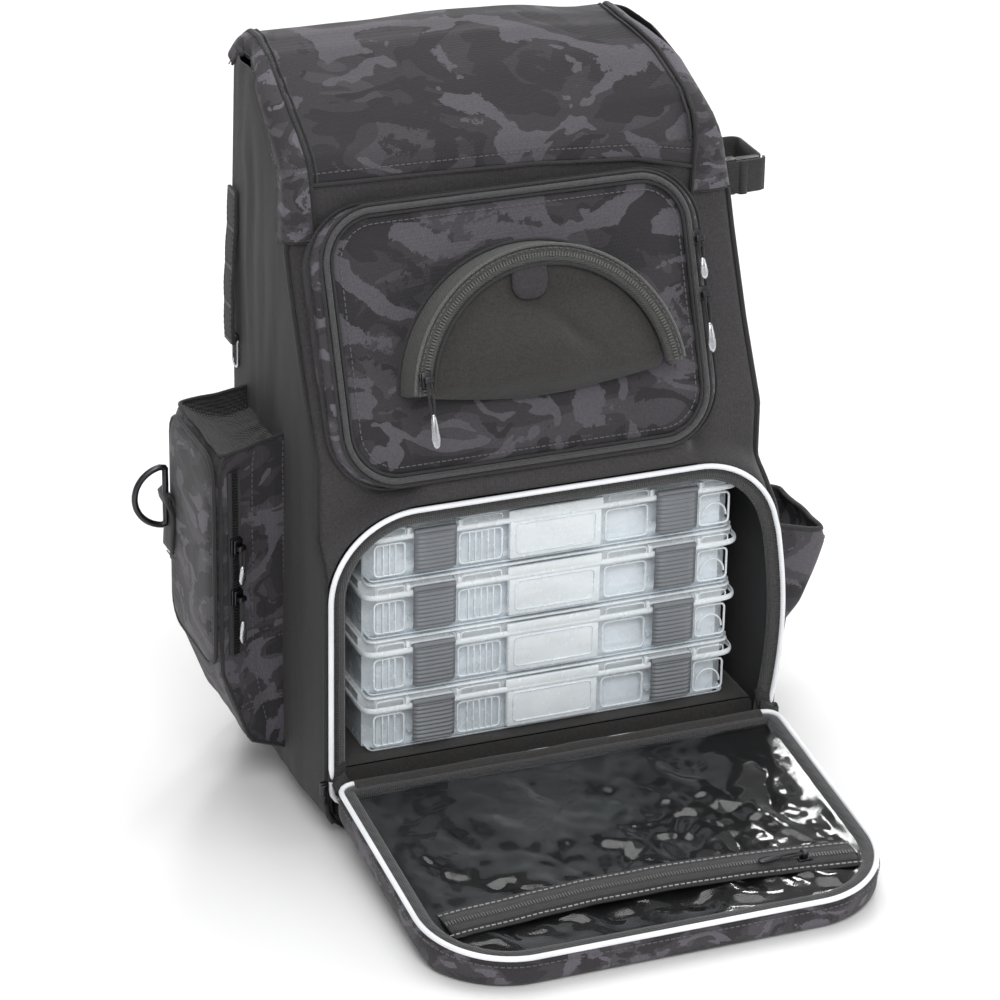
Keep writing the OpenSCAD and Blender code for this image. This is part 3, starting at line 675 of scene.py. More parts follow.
def make_body():
    # The flanks and back take the darker copy of the plain weave: painted shade.
    patch("body_skin", 129, 64, body_skin, PLAIN_SHADED_FLANK, "pack", ["main_shell"])
    patch("front_panel", 61, 49, front_panel, PLAIN_LIGHT, "pack")
    floor = rounded_path(-HALF_W + 12, HALF_W - 12, FRONT + 2, BACK - 2, 18, 18, 0, 14)
    mesh_piece("bottom_panel", [(x, y, 0.6) for x, y in floor] + [(x, y, 3) for x, y in floor],
               grid_faces(len(floor), 2, True) + [list(range(len(floor)))[::-1]], SEAM_TAPE, "pack")
    for side, name in ((-1, "left"), (1, "right")):
        edge = [(side * (half_width(side, z) + 0.6), edge_y(side, z) + 1.6, z) for z in range(12, 410, 4)]
        tube("side_piping_" + name, edge, 1.9, BLACK_PIPING, "pack")
        seam = [(side * (half_width(side, z) + 0.4 + folds(side, 0.07, edge_y(side, z) + 9, z)),
                 edge_y(side, z) + 12, z) for z in range(30, 400, 6)]
        stitches("side_stitches_" + name, seam, (side, 0, 0), "pack")
    lining = rounded_path(-HALF_W + 4, HALF_W - 4, 5.5, OPEN_HIGH.z - 3.5, 16, OPEN_R - 3, 0, 8)
    patch("compartment_lining", len(lining), 20, lambda u, v: (
        lining[round(u * len(lining)) % len(lining)][0] + 1.2 * wrinkle(u * 300, v * 190, 0, 40),
        lerp(FRONT + 2, BACK - 6, v), lining[round(u * len(lining)) % len(lining)][1]),
        LINING, "pack", close_u=True, offset=0, thick=1)
    mesh_piece("compartment_back", [(x, BACK - 6, z) for x, z in lining], [list(range(len(lining)))],
               LINING, "pack")
    paths = [opening_path(d) for d in (1.5, 5, 9, 13.5)]
    deep = (-0.6, -2.4, -2.6, -0.2)
    patch("opening_border", len(paths[0]), 4, lambda u, v: (
        paths[round(v * 3)][round(u * len(paths[0])) % len(paths[0])][0], FRONT + deep[round(v * 3)],
        paths[round(v * 3)][round(u * len(paths[0])) % len(paths[0])][1]),
        BORDER, "pack", close_u=True, thick=1.6)
    ring = [(x, OPEN_LOW.y + 1.9, z) for x, z in opening_path(2)]
    tube("opening_piping_cord", ring, 1.9, WHITE, "pack", ["opening_piping"], closed=True)
    coil = [(x, OPEN_LOW.y + 2.6, z) for x, z in opening_path(5.2) if z > OPEN_LOW.z + 14]
    teeth("opening_zip", coil, (0, -1, 0), "pack", width=3.2, material=DARK_COIL)
    riser = rounded_path(-154, 154, 7.5, 50.2, 5, 5, 0, 12)
    patch("riser_cover", len(riser), 12, lambda u, v: (
        riser[round(u * len(riser)) % len(riser)][0], lerp(FRONT + 6, BACK - 9, v),
        riser[round(u * len(riser)) % len(riser)][1]), PLAIN_DARK, "pack", ["base_riser"], close_u=True,
        thick=1)
    mesh_piece("riser_front", [(x, FRONT + 6, z) for x, z in riser], [list(range(len(riser)))[::-1]],
               PLAIN_DARK, "pack")
    low, high = box_mm("shelf_board")
    patch("upper_floor", 31, 17, lambda u, v: (
        lerp(low.x - 10, high.x + 10, u), lerp(low.y - 14, high.y + 2, v),
        high.z + 1.4 + 0.6 * wrinkle(u * 300, v * 150, 0, 50)), LINING, "pack", ["shelf_board"], thick=2)
    patch("upper_lining", 65, 24, lambda u, v: (
        (body_skin(lerp(0.02, 0.98, u), lerp(0.5, 0.985, v))[0]) * 0.978,
        min(body_skin(lerp(0.02, 0.98, u), lerp(0.5, 0.985, v))[1], BACK - 4),
        lerp(250, 492, v)), LINING, "pack", thick=1, offset=0)
    paint("base_board", SEAM_TAPE)
    paint("frame_sheet", SEAM_TAPE)


def paint(node, material):
    """Gives a CAD node that stays in view its material."""
    slots = frame["nodes"][node].data.materials
    for i in range(len(slots)):
        slots[i] = material


# ---------------------------------------------------------------- lid

LID_PROFILE = [(SEAM.y, SEAM.z), (-19, 453), (-14, 462), (3, 475), (31, 495), (56, 512), (74, 517), (92, 516),
               (101, 510), (104.5, 500)]


def lid_line(v):
    """[y, z] and the outward normal on the lid's profile, at v of its length."""
    pts = [Vector((0, y, z)) for y, z in LID_PROFILE]
    lengths = [(b - a).length for a, b in zip(pts, pts[1:])]
    s = v * sum(lengths)
    for a, b, length in zip(pts, pts[1:], lengths):
        if s <= length or b is pts[-1]:
            p = a.lerp(b, min(s / length, 1))
            d = (b - a).normalized()
            return p, Vector((0, -d.z, d.y))
        s -= length


LID_PIPING = {-1: [(408, 146), (446, 149), (473, 149.5), (498, 152), (512, 153), (517, 152)],
              1: [(408, 124), (446, 126), (473, 127), (495, 118), (508, 111), (517, 105)]}
SEAM_DROP = [(-150, 2), (-67, 0), (7, -2), (81, -8), (126, -19)]


def lid_sag(across, v):
    """The empty lid sinks towards its rear right corner."""
    return 9 * ease((across - 0.1) / 0.9) * ease((v - 0.4) / 0.35)


def lid_top(u, v):
    across = math.sin(math.pi / 2 * (2 * u - 1))
    p, normal = lid_line(v)
    x = abs(across) * table(LID_PIPING[1 if across > 0 else -1], p.z) * (1 if across > 0 else -1)
    out = 3.6 * math.cos(math.pi / 2 * across) ** 0.5 * math.sin(math.pi * min(v * 1.4 + 0.05, 1)) + 1.2
    out += 1.3 * wrinkle(across * 160, p.y, p.z, 46) * (1 - across ** 4)
    q = p + normal * out
    return x, q.y, q.z + table(SEAM_DROP, x) * max(0.0, 1 - v * 5) - lid_sag(across, v)


WING_FOOT = 0.17
SEWN = ("pack", "lid", (0, -0.02, 0.434), (0, -0.016, 0.456))


def wing_line(u):
    """The wing climbs the front corner and runs back along the lid's edge: its point, normal and lid v."""
    if u < WING_FOOT:
        return Vector((0, SEAM.y - 0.4, lerp(SEAM.z - 38, SEAM.z, u / WING_FOOT))), Vector((0, -1, 0)), 0.0
    v = (u - WING_FOOT) / (1 - WING_FOOT)
    return *lid_line(v), v


def wing(side):
    def place(u, v):
        p, normal, lid_v = wing_line(u)
        inner = table(LID_PIPING[side], p.z)
        outer = max(half_width(side, p.z) + 2.0, inner + 3)
        round_r, hem = 6.0, 15.0
        if v < 0.5:
            x, depth = lerp(inner, outer - round_r, v / 0.5), 0.0
        elif v < 0.7:
            a = (v - 0.5) / 0.2 * math.pi / 2
            x, depth = outer - round_r + round_r * math.sin(a), round_r * (1 - math.cos(a))
        else:
            x, depth = outer, lerp(round_r, hem, (v - 0.7) / 0.3)
        full = 1.6 * math.sin(math.pi * min(v / 0.6, 1))
        q = p + normal * (1.4 + full - depth)
        return side * (x + 0.8 * (v > 0.6)), q.y, q.z - lid_sag(side, lid_v)
    return place


def make_lid():
    patch("lid_skin", 61, 61, lid_top, CAMO_LID, "lid", ["top_lid"], thick=2.4)
    for side, name in ((-1, "left"), (1, "right")):
        patch("lid_wing_" + name, 71, 15, wing(side), CAMO_PALE, SEWN, thick=1.4, offset=0)
        edge = [Vector(wing(side)(u / 70, 0)) + Vector((0, -0.6, 0.8)) for u in range(71)]
        tube("lid_piping_" + name, edge, 1.7, BLACK_PIPING, SEWN)
        inner = [Vector(wing(side)(u / 70, 0)) + Vector((-side * 4.2, -0.4, 0.9)) for u in range(12, 71)]
        tube("lid_piping_inner_" + name, inner, 0.9, SEAM_TAPE, "lid")
        hem = [Vector(wing(side)(u / 70, 0.92)) + Vector((side * 1.0, 0, 0)) for u in range(71)]
        stitches("wing_stitches_" + name, hem, (side, 0, 0), SEWN)
        foot = [Vector(wing(side)(0.006, v / 12)) for v in range(13)]
        rear = [Vector(wing(side)(u / 70, 1.0)) for u in range(71)]
        tube("wing_hem_" + name, foot + rear[1:], 1.0, BLACK_PIPING, SEWN)
        front_hem = [Vector(wing(side)(0.035, v / 12)) + Vector((0, -1.0, 0)) for v in range(8)]
        stitches("wing_front_stitches_" + name, front_hem, (0, -1, 0), "pack")
    seam = [Vector(lid_top(u / 80, 0.0)) + Vector((0, -0.7, 0)) for u in range(1, 80)]
    tube("lid_seam_binding", seam, 1.3, SEAM_TAPE, "lid")
    row = [Vector(lid_top(u / 80, 0.045)) + Vector((0, -0.5, 0)) for u in range(3, 78)]
    stitches("lid_seam_stitches", row, (0, -1, 0.1), "lid")
    patch("lid_back_edge", 61, 5, lambda u, v: (
        lid_top(u, 1)[0], lid_top(u, 1)[1] - 0.4 + v, lid_top(u, 1)[2] - 9 * v), PLAIN, "lid", thick=1.4)
    coil = [(lerp(-136, 116, t / 40), BACK + 2.6, LID_TOP - 19) for t in range(41)]
    ribbon("lid_zip_tape", coil, [(0, 1, 0)] * 41, 13, ZIP_TAPE, "pack")
    teeth("lid_zip_coil", [(x, y + 0.5, z) for x, y, z in coil], (0, 1, 0), "pack", material=DARK_COIL)
    for name in ("left", "right"):
        node = "lid_slider_" + name
        low, high = box_mm(node)
        mid = (low + high) / 2
        blocks(node + "_body", [((0, 0, 3.5), (12, 4.2, 8.4)), ((0, 1.6, -6), (4.4, 2.2, 12)),
                                ((0, 2.2, 3.5), (5, 2.4, 4))],
               lambda x, y, z, mid=mid: mid + Vector((x, y, z)), GUNMETAL, node, [node], 0.9)


def blocks(name, parts, place, material, body, nodes=(), bevel=0.6):
    """Small hard parts in one mesh, each (centre, size), with rounded edges."""
    verts, faces = [], []
    for centre, size in parts:
        base = len(verts)
        verts += [place(*(c + k * s / 2 for c, k, s in zip(centre, corner, size))) for corner in BLOCK]
        faces += [[base + k for k in face] for face in BLOCK_FACES]
    obj = mesh_piece(name, verts, faces, material, body, nodes)
    mod = obj.modifiers.new("bevel", "BEVEL")
    mod.width = bevel * MM
    mod.segments = 3
    return obj


# ---------------------------------------------------------------- sliders and pulls

def zipper(slider, pull, turn, length, drop, slider_body=None, pull_body=None, tip=SILVER):
    """A slider and its cord pull. Both are placed from the pull's own hinge pin."""
    pin = joint_mm(pull + "_swing")
    slider_body, pull_body = slider_body or slider, pull_body or pull

    def place(x, y, z):
        return pin + turn @ Vector((x, y + 7.2, z + drop))

    def hang(x, y, z):
        return pin + turn @ Vector((x, y, z))

    blocks(slider + "_body", [((0, -1.4, 0), (8.8, 2.0, 11.6)), ((0, -3.8, 0.4), (7.4, 1.8, 10.2)),
                              ((0, -2.6, 3.4), (2.4, 2.6, 3)), ((-2.4, -7.0, 0), (1.2, 4.2, 4)),
                              ((2.4, -7.0, 0), (1.2, 4.2, 4)), ((0, -8.6, 0.6), (5.6, 1.4, 3.6))],
           place, GUNMETAL, slider_body, [slider], 0.7)
    half = 0.52 * length
    loop = []
    for i in range(25):
        a = 2 * math.pi * i / 24
        loop.append(hang(1.5 * math.sin(a) * (1 + 0.3 * math.cos(a)), 0.3 * math.sin(2 * a) - 0.6,
                         -half / 2 + (half / 2 + 0.9) * math.cos(a)))
    tube(pull + "_cord", loop, 0.85, CORD, pull_body, [pull])
    rings = []
    for t, w, d in ((0, 1.2, 1.0), (0.1, 1.9, 1.5), (0.35, 2.5, 1.7), (0.7, 3.1, 1.5), (0.9, 2.2, 1.1),
                    (1, 0.7, 0.5)):
        z = -half + 1.5 - t * (length - half + 1)
        rings.append([hang(w * math.cos(a), -0.8 + d * math.sin(a), z)
                      for a in (2 * math.pi * k / 14 for k in range(14))])
    loft(pull + "_tip", rings[::-1], tip, pull_body)


# ---------------------------------------------------------------- front pocket and half-moon

def pocket_path(inset):
    return rounded_path(-POCKET_W / 2, POCKET_W / 2, 0, POCKET_L, 40, 40, inset, 5)


def zip_line(inset):
    """The zip round the front pocket's door, moved in by inset."""
    return rounded_path(-POCKET_W / 2 + 9.5, POCKET_W / 2 - 9.5, 3.2, POCKET_L - 3, 35, 35, inset, 5)


def loop_patch(name, paths, depths, place, material, body, nodes=(), thick=1.4, offset=-1.0, ruffle=0.0):
    """A band through closed paths of the same number of points, each at its depth."""
    n, rows = len(paths[0]), len(paths)

    def at(u, v):
        x, z = paths[round(v * (rows - 1))][round(u * n) % n]
        d = depths[round(v * (rows - 1))]
        return place(x, d + ruffle * wrinkle(x, z, d, 26), z)
    return patch(name, n, rows, at, material, body, nodes, thick, offset, True)


def cushion(name, path, place, depth, material, body, nodes=(), rows=16, thick=1.2, offset=-1.0):
    """A puffed panel inside a closed path. depth(x, z, t) gives its depth; t runs from 0 at the edge to 1."""
    cx = (min(p[0] for p in path) + max(p[0] for p in path)) / 2
    cz = (min(p[1] for p in path) + max(p[1] for p in path)) / 2
    verts = []
    for j in range(rows):
        t = j / rows
        for x, z in path:
            qx, qz = lerp(x, cx, t), lerp(z, cz, t)
            verts.append(place(qx, depth(qx, qz, t), qz))
    verts.append(place(cx, depth(cx, cz, 1), cz))
    n = len(path)
    faces = grid_faces(n, rows, True)
    faces += [(i + n * (rows - 1), (i + 1) % n + n * (rows - 1), len(verts) - 1) for i in range(n)]
    obj = mesh_piece(name, verts, faces, material, body, nodes)
    if thick:
        solid = obj.modifiers.new("thickness", "SOLIDIFY")
        solid.thickness = thick * MM
        solid.offset = offset
    obj.modifiers.new("smooth", "SUBSURF").levels = 1
    obj.modifiers["smooth"].render_levels = 1
    return obj


def door_depth(x, z, t):
    """The camo front of the pocket: full in the middle, drawn in at the zip."""
    puffy = 3.2 * (1 - (1 - min(t * 3.2, 1)) ** 2)
    return (-1.2 - puffy - 0.9 * wrinkle(x, z, 0, 42) * min(t * 4, 1)
            - 0.5 * wrinkle(x, z, 5, 15) * min(t * 4, 1))


def moon_path(radius, low, sag=0.0, count=44):
    """A closed path about the half-moon's centre: an arc over the top, and a lower edge that may sag."""
    start = math.asin(min(low / radius, 0.99))
    pts = [(radius * math.cos(a), radius * math.sin(a))
           for a in (lerp(start, math.pi - start, i / count) for i in range(count + 1))]
    x_end = pts[-1][0]
    pts += [(lerp(x_end, -x_end, i / 28), low - sag * math.sin(math.pi * i / 28)) for i in range(1, 28)]
    return pts


def make_front_pocket():
    outer = [pocket_path(d) for d in (-1.0, -0.6, -0.6, 1.5, 6, 10)]
    loop_patch("pocket_gusset", outer, (34, 20, 6, 0.4, -1.4, -1.0), on_pocket, CAMO_PALE, "pack",
               ["front_pocket"], ruffle=0.8)
    seam = [on_pocket(x, 5, z) for x, z in pocket_path(-1.6)]
    tube("pocket_gusset_binding", seam, 1.1, SEAM_TAPE, "pack", closed=True)
    tube("pocket_zip_cord", [on_pocket(x, -3.2, z) for x, z in zip_line(0)], 2.1, PIPING, "pack", closed=True)
    tube("pocket_zip_outer", [on_pocket(x, -2.4, z) for x, z in zip_line(-3.6)], 1.2, SEAM_TAPE, "pack",
         closed=True)
    tube("pocket_zip_inner", [on_pocket(x, -3.0, z) for x, z in zip_line(3.6)], 1.2, SEAM_TAPE, "front_door",
         closed=True)
    stitches("pocket_door_stitches", [on_pocket(x, -5.3, z) for x, z in zip_line(9)],
             POCKET_TURN @ Vector((0, -1, 0)), "front_door", closed=True)
    door = cushion("front_door_panel", zip_line(3.2), on_pocket, door_depth, CAMO, "front_door",
                   ["front_door"])
    low = MOON_DROP
    arcs = [(MOON_R + 2, -3.4), (MOON_R + 0.4, -10), (MOON_R, -22), (MOON_R - 0.8, -29.4),
            (MOON_R - 3, -31.2),
            (MOON_R - MOON_BAND / 2, -31.8), (MOON_R - MOON_BAND + 1.5, -31), (MOON_R - MOON_BAND, -28)]
    steps = 72

    def band(u, v):
        radius, depth = arcs[round(v * 7)]
        start = math.asin((low - 1.5) / radius)
        a = lerp(start, math.pi - start, u)
        return on_moon(radius * math.cos(a), depth, radius * math.sin(a))

    patch("moon_band", steps + 1, 8, band, BAND, "front_door", ["moon_pocket"], thick=1.4)

    def arc(radius, depth, first=0.0, last=1.0):
        start = math.asin(low / radius)
        return [on_moon(radius * math.cos(a), depth, radius * math.sin(a))
                for a in (lerp(start, math.pi - start, lerp(first, last, i / steps))
                          for i in range(steps + 1))]

    face = POCKET_TURN @ Vector((0, -1, 0))
    tube("moon_outer_piping", arc(MOON_R - 0.6, -31.0), 1.1, BAND_EDGE, "front_door")
    tube("moon_inner_piping", arc(MOON_R - MOON_BAND + 0.6, -31.0), 1.2, SEAM_TAPE, "front_door")
    tube("moon_foot_piping", arc(MOON_R + 2.4, -4.6), 1.4, SEAM_TAPE, "front_door")
    teeth("moon_zip_coil", arc(MOON_R - MOON_BAND / 2, -31.9), face, "front_door", width=3.0,
          material=BAND_EDGE)
    stitches("moon_band_stitches", arc(MOON_R - 3.2, -32.0), face, "front_door")

    def pouch(x, z, t):
        """A full centre that is dented under its top edge and creased to the right."""
        rim = min(t * 5, 1)
        dent = 6.5 * math.exp(-((x - 2) / 26) ** 2 - ((z - 64) / 15) ** 2)
        crease = (4.6 * math.exp(-((0.72 * (x - 4) + 0.7 * (z - 52)) / 6) ** 2)
                  * ease((x + 10) / 30) * ease((z - 16) / 20))
        full = 10.5 * math.exp(-((x + 6) / 54) ** 2 - ((z - 28) / 26) ** 2)
        fold = 1.4 * wrinkle(x, z, 0, 24) + 0.7 * wrinkle(x, z, 4, 11)
        foot = 1 - ease((z + 4) / 16)
        return -27.5 - rim * (full - dent - crease + fold) + 18 * foot * (1 - 0.4 * rim)

    pouch_panel = cushion("moon_pouch", moon_path(MOON_R - MOON_BAND + 0.4, low - 5, 9), on_moon, pouch,
                          PLAIN_DARK,
                          "moon_door", ["moon_door"], rows=20)
    tab = rounded_path(-13, 13, 0, 24, 10, 3, 0, 4)
    cushion("moon_tab", tab, lambda x, y, z: on_moon(x - 7, y, z + 61),
            lambda x, z, t: -30.6 - 1.6 * min(t * 3, 1) + (24 - z) * 0.12, PLAIN, "moon_door", rows=5)
    zipper("front_slider_upper", "front_pull_upper", POCKET_TURN, 28, 0)
    zipper("front_slider_lower", "front_pull_lower", POCKET_TURN, 40, 0)
    zipper("moon_slider", "moon_pull", POCKET_TURN, 46, 0)


# ---------------------------------------------------------------- flap

def flap_path(inset):
    """The flap's outline in its own plane, moved in by inset: x, and y along the flap."""
    pts = rounded_path(-FLAP_W / 2, FLAP_W / 2, -FLAP_BACK, FLAP_L - FLAP_BACK, 12, OPEN_R, inset, 5)
    return [(x, -y) for x, y in pts]


def flap_place(x, z, y):
    return on_flap(x, y, z)


def floor_under(y):
    """The flap's local height where its underside meets the floor."""
    rise = FLAP_HINGE.z + y * math.sin(FLAP_SLOPE)
    return -(rise - 0.6) / math.cos(FLAP_SLOPE)


def window_depth(x, y):
    """Clear film: tight at its edges, with soft buckles that run down from the upper left."""
    edge = min(1.0, (FLAP_W / 2 - 13 - abs(x)) / 18, (y + FLAP_L - FLAP_BACK - 12) / 16, (-6 - y) / 16)
    diagonal = wrinkle(0.8 * x + 0.5 * y, 0.28 * (y - 0.6 * x), 0, 19, 1.7)
    fold = abs(wrinkle(x + 0.4 * y, 0.6 * y, 0, 30, 6.3)) ** 0.7
    ripple = wrinkle(x, y, 0, 12, 4.1)
    swell = wrinkle(x, y, 0, 48, 2.2)
    return 8.6 + max(edge, 0) * (3.0 * diagonal + 1.2 * ripple + 2.2 * swell + 2.6 * fold - 2.0)


def make_flap():
    n = len(flap_path(0))
    rims = [flap_path(d) for d in (1.2, 0.0, -0.4, 0.4, 3.5)]

    def gusset(u, v):
        k = round(v * 4)
        x, y = rims[k][round(u * n) % n]
        near = ease((-y - 150) / 40)
        low = max(floor_under(y), -FLAP_TOP - 14 * near)
        depth = (8.8, 5, lerp(8, low, 0.55), low + 2, low + 0.2)[k]
        bulge = 1.4 * (k in (2, 3)) * wrinkle(x, y, 0, 40)
        return on_flap(x + bulge * (1 if x > 0 else -1), y, depth)

    patch("flap_gusset", n, 5, gusset, CAMO_PALE, "flap", ["flap_panel"], close_u=True, thick=1.4)
    under = flap_path(3.4)
    mesh_piece("flap_under", [on_flap(x, y, max(floor_under(y), -FLAP_TOP - 14 * ease((-y - 150) / 40)) + 0.4)
                              for x, y in under], [list(range(len(under)))], CAMO_DARK, "flap")
    inner = flap_path(12.5)
    mesh_piece("flap_bed", [on_flap(x, y, 1.5) for x, y in inner], [list(range(len(inner)))[::-1]], LINING,
               "flap")
    loop_patch("flap_border", [flap_path(d) for d in (1.5, 4.5, 8, 11.5, 13)], (8.8, 10.4, 10.8, 10.2, 2),
               flap_place, BORDER, "flap", thick=1.2, offset=0)
    tube("flap_piping_cord", [on_flap(x, y, 10.6) for x, y in flap_path(1.6)], 1.9, WHITE, "flap",
         ["flap_piping"], closed=True)
    stitches("flap_gusset_stitches", [on_flap(x, y, 5.6) for x, y in flap_path(-0.9)],
             lambda p: (p.x / 200, -1 if p.y < -200 else 0, 0.2), "flap", closed=True)
    film = patch("flap_film", 129, 91, lambda u, v: on_flap(*window_point(u, v)), FILM, "flap",
                 ["flap_window"],
                 thick=0, subdiv=1)
    zip_path = [on_flap(lerp(-146, 145, t / 60), ZIP_V + 2 + 8 * math.sin(math.pi * t / 60) - 4 * t / 60,
                        lerp(8.6, 11.8, bump_between(t, -12, 72)) + 0.7 * wrinkle(t * 5, 0, 0, 30))
                        for t in range(61)]
    normal = FLAP_TURN @ Vector((0, 0, 1))
    ribbon("flap_zip_tape", zip_path, [normal] * 61, 16, ZIP_TAPE_WARM, "flap", ["flap_zip"])
    ribbon("flap_zip_binding", [p - normal * 0.8 for p in zip_path], [normal] * 61, 28, SEAM_TAPE, "flap",
           thick=1.0)
    teeth("flap_zip_coil", [p + normal * 0.5 for p in zip_path], normal, "flap", width=3.6)
    along = FLAP_TURN @ Vector((0, 1, 0))
    for side in (-1, 1):
        row = [p + along * side * 11 + normal * 0.1 for p in zip_path]
        stitches("flap_zip_stitches_" + ("near" if side < 0 else "far"), row, normal, "flap",
                 material=WHITE_THREAD)
    turn = FLAP_TURN @ Matrix(((0, 0, 1), (1, 0, 0), (0, -1, 0)))
    zipper("flap_slider", "flap_pull", turn, 32, 2.5, tip=GUNMETAL)
    roll = []
    for t in range(61):
        x = lerp(-151, 151, t / 60)
        roll.append(on_flap(x, 6.5 + 0.8 * wrinkle(x, 0, 0, 40), 7.3 + 0.5 * wrinkle(x, 9, 0, 30)))
    tube("flap_roll", roll, 5.9, PLAIN_DARK, "flap", sides=6)
    for side, name in ((-1, "left"), (1, "right")):
        loop = [on_flap(side * 158, 9, 7), on_flap(side * 160, 14, 13),
                (side * 160, FRONT - 4, OPEN_LOW.z + 20),
                (side * 158, FRONT - 1, OPEN_LOW.z + 34)]
        path = [p for p, _ in resample(loop, 3)]
        ribbon("flap_corner_loop_" + name, path, [(0, -1, 0.5)] * len(path), 12, WEBBING, "flap", thick=1.6)


def window_point(u, v):
    """A point on the clear film, from the rounded outline of the flap's frame."""
    w, low, high, r = FLAP_W / 2 - 11.5, -(FLAP_L - FLAP_BACK - 11), -3.0, OPEN_R - 11
    y = lerp(low, high, v)
    inset = r - math.sqrt(max(0.0, r * r - (r - (y - low)) ** 2)) if y - low < r else 0
    x = lerp(-1, 1, u) * (w - inset)
    return x, y, window_depth(x, y)


# ---------------------------------------------------------------- tackle boxes

def make_tray(i):
    body = f"tray_{i}"
    low, high = box_mm(f"tray_{i}_lid")
    base_low = box_mm(f"tray_{i}_base")[0]
    mid_x, front, floor = (low.x + high.x) / 2, low.y, base_low.z
    width, depth = high.x - low.x, high.y - low.y
    paint(f"tray_{i}_lid", LID_PLASTIC)
    paint(f"tray_{i}_base", BOX_PLASTIC)

    def place(x, y, z):
        return Vector((mid_x + x, front + y, floor + z))

    def around(grow):
        return rounded_path(-width / 2, width / 2, 0, depth, 9, 9, -grow, 7)

    def flat(x, z, y):
        return place(x, y, z)

    loop_patch(f"tray_{i}_rim", [around(g) for g in (0.2, 1.3, 1.5, 1.3, 0.2)],
               (32.6, 32.8, 34.5, 36.2, 36.6),
               flat, LID_PLASTIC, body, thick=0.8, offset=0)
    loop_patch(f"tray_{i}_stacking_lip", [around(g) for g in (-5, -3.8, -2.8, -2)], (42.0, 43.0, 43.0, 42.0),
               flat, LID_PLASTIC, body, thick=0.6, offset=0)
    loop_patch(f"tray_{i}_foot", [around(g) for g in (-8, -5.4, -4.2)], (0.4, 0.3, 2.6), flat, BOX_PLASTIC,
               body,
               thick=0.6, offset=0)
    frames = [(-130, -108), (-69, -38), (38, 69), (108, 130)]
    for k, (a, b) in enumerate(frames):
        path = [place(x, 2.6, z) for x, z in rounded_path(a, b, 6, 29, 3, 3, 0, 3)]
        tube(f"tray_{i}_panel_{k + 1}", path, 0.8, LID_PLASTIC, body, closed=True, sides=2)
        path = [place(x, -0.1, z) for x, z in rounded_path(a + 1, b - 1, 35.4, 41, 2, 2, 0, 3)]
        tube(f"tray_{i}_lid_panel_{k + 1}", path, 0.5, LID_PLASTIC, body, closed=True, sides=2)
    ribs = [((x, 2.4, 17.5), (0.9, 2.2, 22)) for x in (-62, -57.5, -53, -48.5, -44)]
    ribs += [((x, 2.4, 17.5), (0.9, 2.2, 22)) for x in (-124, -119.5, -115)]
    blocks(f"tray_{i}_ribs", ribs, place, LID_PLASTIC, body, bevel=0.3)
    blocks(f"tray_{i}_centre", [((0, 1.2, 20), (67, 4.6, 30)), ((0, -0.4, 38), (69, 2.6, 7.6)),
                                ((0, 0.4, 33.8), (66, 2.8, 2.4))], place, LID_PLASTIC, body, bevel=1.1)
    path = [place(x, -1.3, z) for x, z in rounded_path(-29, 29, 9, 31, 3, 3, 0, 3)]
    tube(f"tray_{i}_centre_line", path, 0.55, BOX_PLASTIC, body, closed=True, sides=2)
    arc_mark = [place(119 + 9 * math.cos(a), 2.4, 12 + 10 * math.sin(a))
                for a in (math.pi * k / 12 for k in range(13))]
    tube(f"tray_{i}_arc_mark", arc_mark, 0.7, LID_PLASTIC, body, sides=2)
    tabs = [((s * 88.5 + t * 18.3, 0.2, 38.2), (2.6, 3.6, 6)) for s in (-1, 1) for t in (-1, 1)]
    blocks(f"tray_{i}_latch_cheeks", tabs, place, LID_PLASTIC, body, bevel=0.7)
    make_latches(i, place)


def make_latches(i, place):
    node = f"tray_{i}_latches"
    verts, faces = [], []
    nu, nv = 9, 82
    for centre in (-88.5, 88.5):
        base = len(verts)
        for j in range(nv):
            t = j / (nv - 1)
            z = lerp(8.2, 36.4, t)
            rib = (0.5 + 0.5 * math.cos(2 * math.pi * 9 * t)) ** 0.6
            for k in range(nu):
                s = 2 * k / (nu - 1) - 1
                edge = abs(s) ** 8
                y = -4.4 - 1.1 * rib * (1 - edge) + 1.3 * edge + 0.9 * ease((0.12 - t) / 0.12)
                verts.append(place(centre + s * 15.4, y, z))
        faces += [tuple(base + q for q in face) for face in grid_faces(nu, nv)]
    obj = mesh_piece(node + "_plates", verts, faces, LATCH, node, [node])
    solid = obj.modifiers.new("thickness", "SOLIDIFY")
    solid.thickness = 1.5 * MM
    solid.offset = -1
    hinge = [place(c + x, -2.9, 38) for c in (-88.5,) for x in range(-15, 16, 3)]
    tube(node + "_hinge_left", hinge, 2.1, LATCH, node)
    tube(node + "_hinge_right", [p + Vector((177, 0, 0)) for p in hinge], 2.1, LATCH, node)



# ---------------------------------------------------------------- left pocket and its ring

POUCH_OUT = [(35, 168), (52, 200), (112, 223.6), (264, 223.6), (272, 220)]
POUCH_LOW, POUCH_HIGH = 36, 272
LEFT_TURN = Matrix.Rotation(math.atan2(JOINTS["left_pull_upper_swing"]["axis"][1],
                                       JOINTS["left_pull_upper_swing"]["axis"][0]) + math.pi, 3, "Z")


def smooth_line(points, times):
    for _ in range(times):
        points = ([points[0]] + [(a + 2 * b + c) / 4 for a, b, c in zip(points, points[1:], points[2:])]
                  + [points[-1]])
    return points


def pouch_ring(z):
    """The left pocket's plan at height z, from the body's front round to its rear."""
    out = table(POUCH_OUT, z)
    t = (out - HALF_W) / 58.6
    corners = [Vector((-HALF_W - 0.4, -20, z)), Vector((-out, lerp(-20, -45, t), z)),
               Vector((-out, lerp(62, 50, t), z)),
               Vector((-HALF_W - 0.4, 62, z))]
    line = []
    for a, b, count in zip(corners, corners[1:], (22, 34, 22)):
        line += [a.lerp(b, i / count) for i in range(count)]
    return smooth_line(line + [corners[-1]], 3)


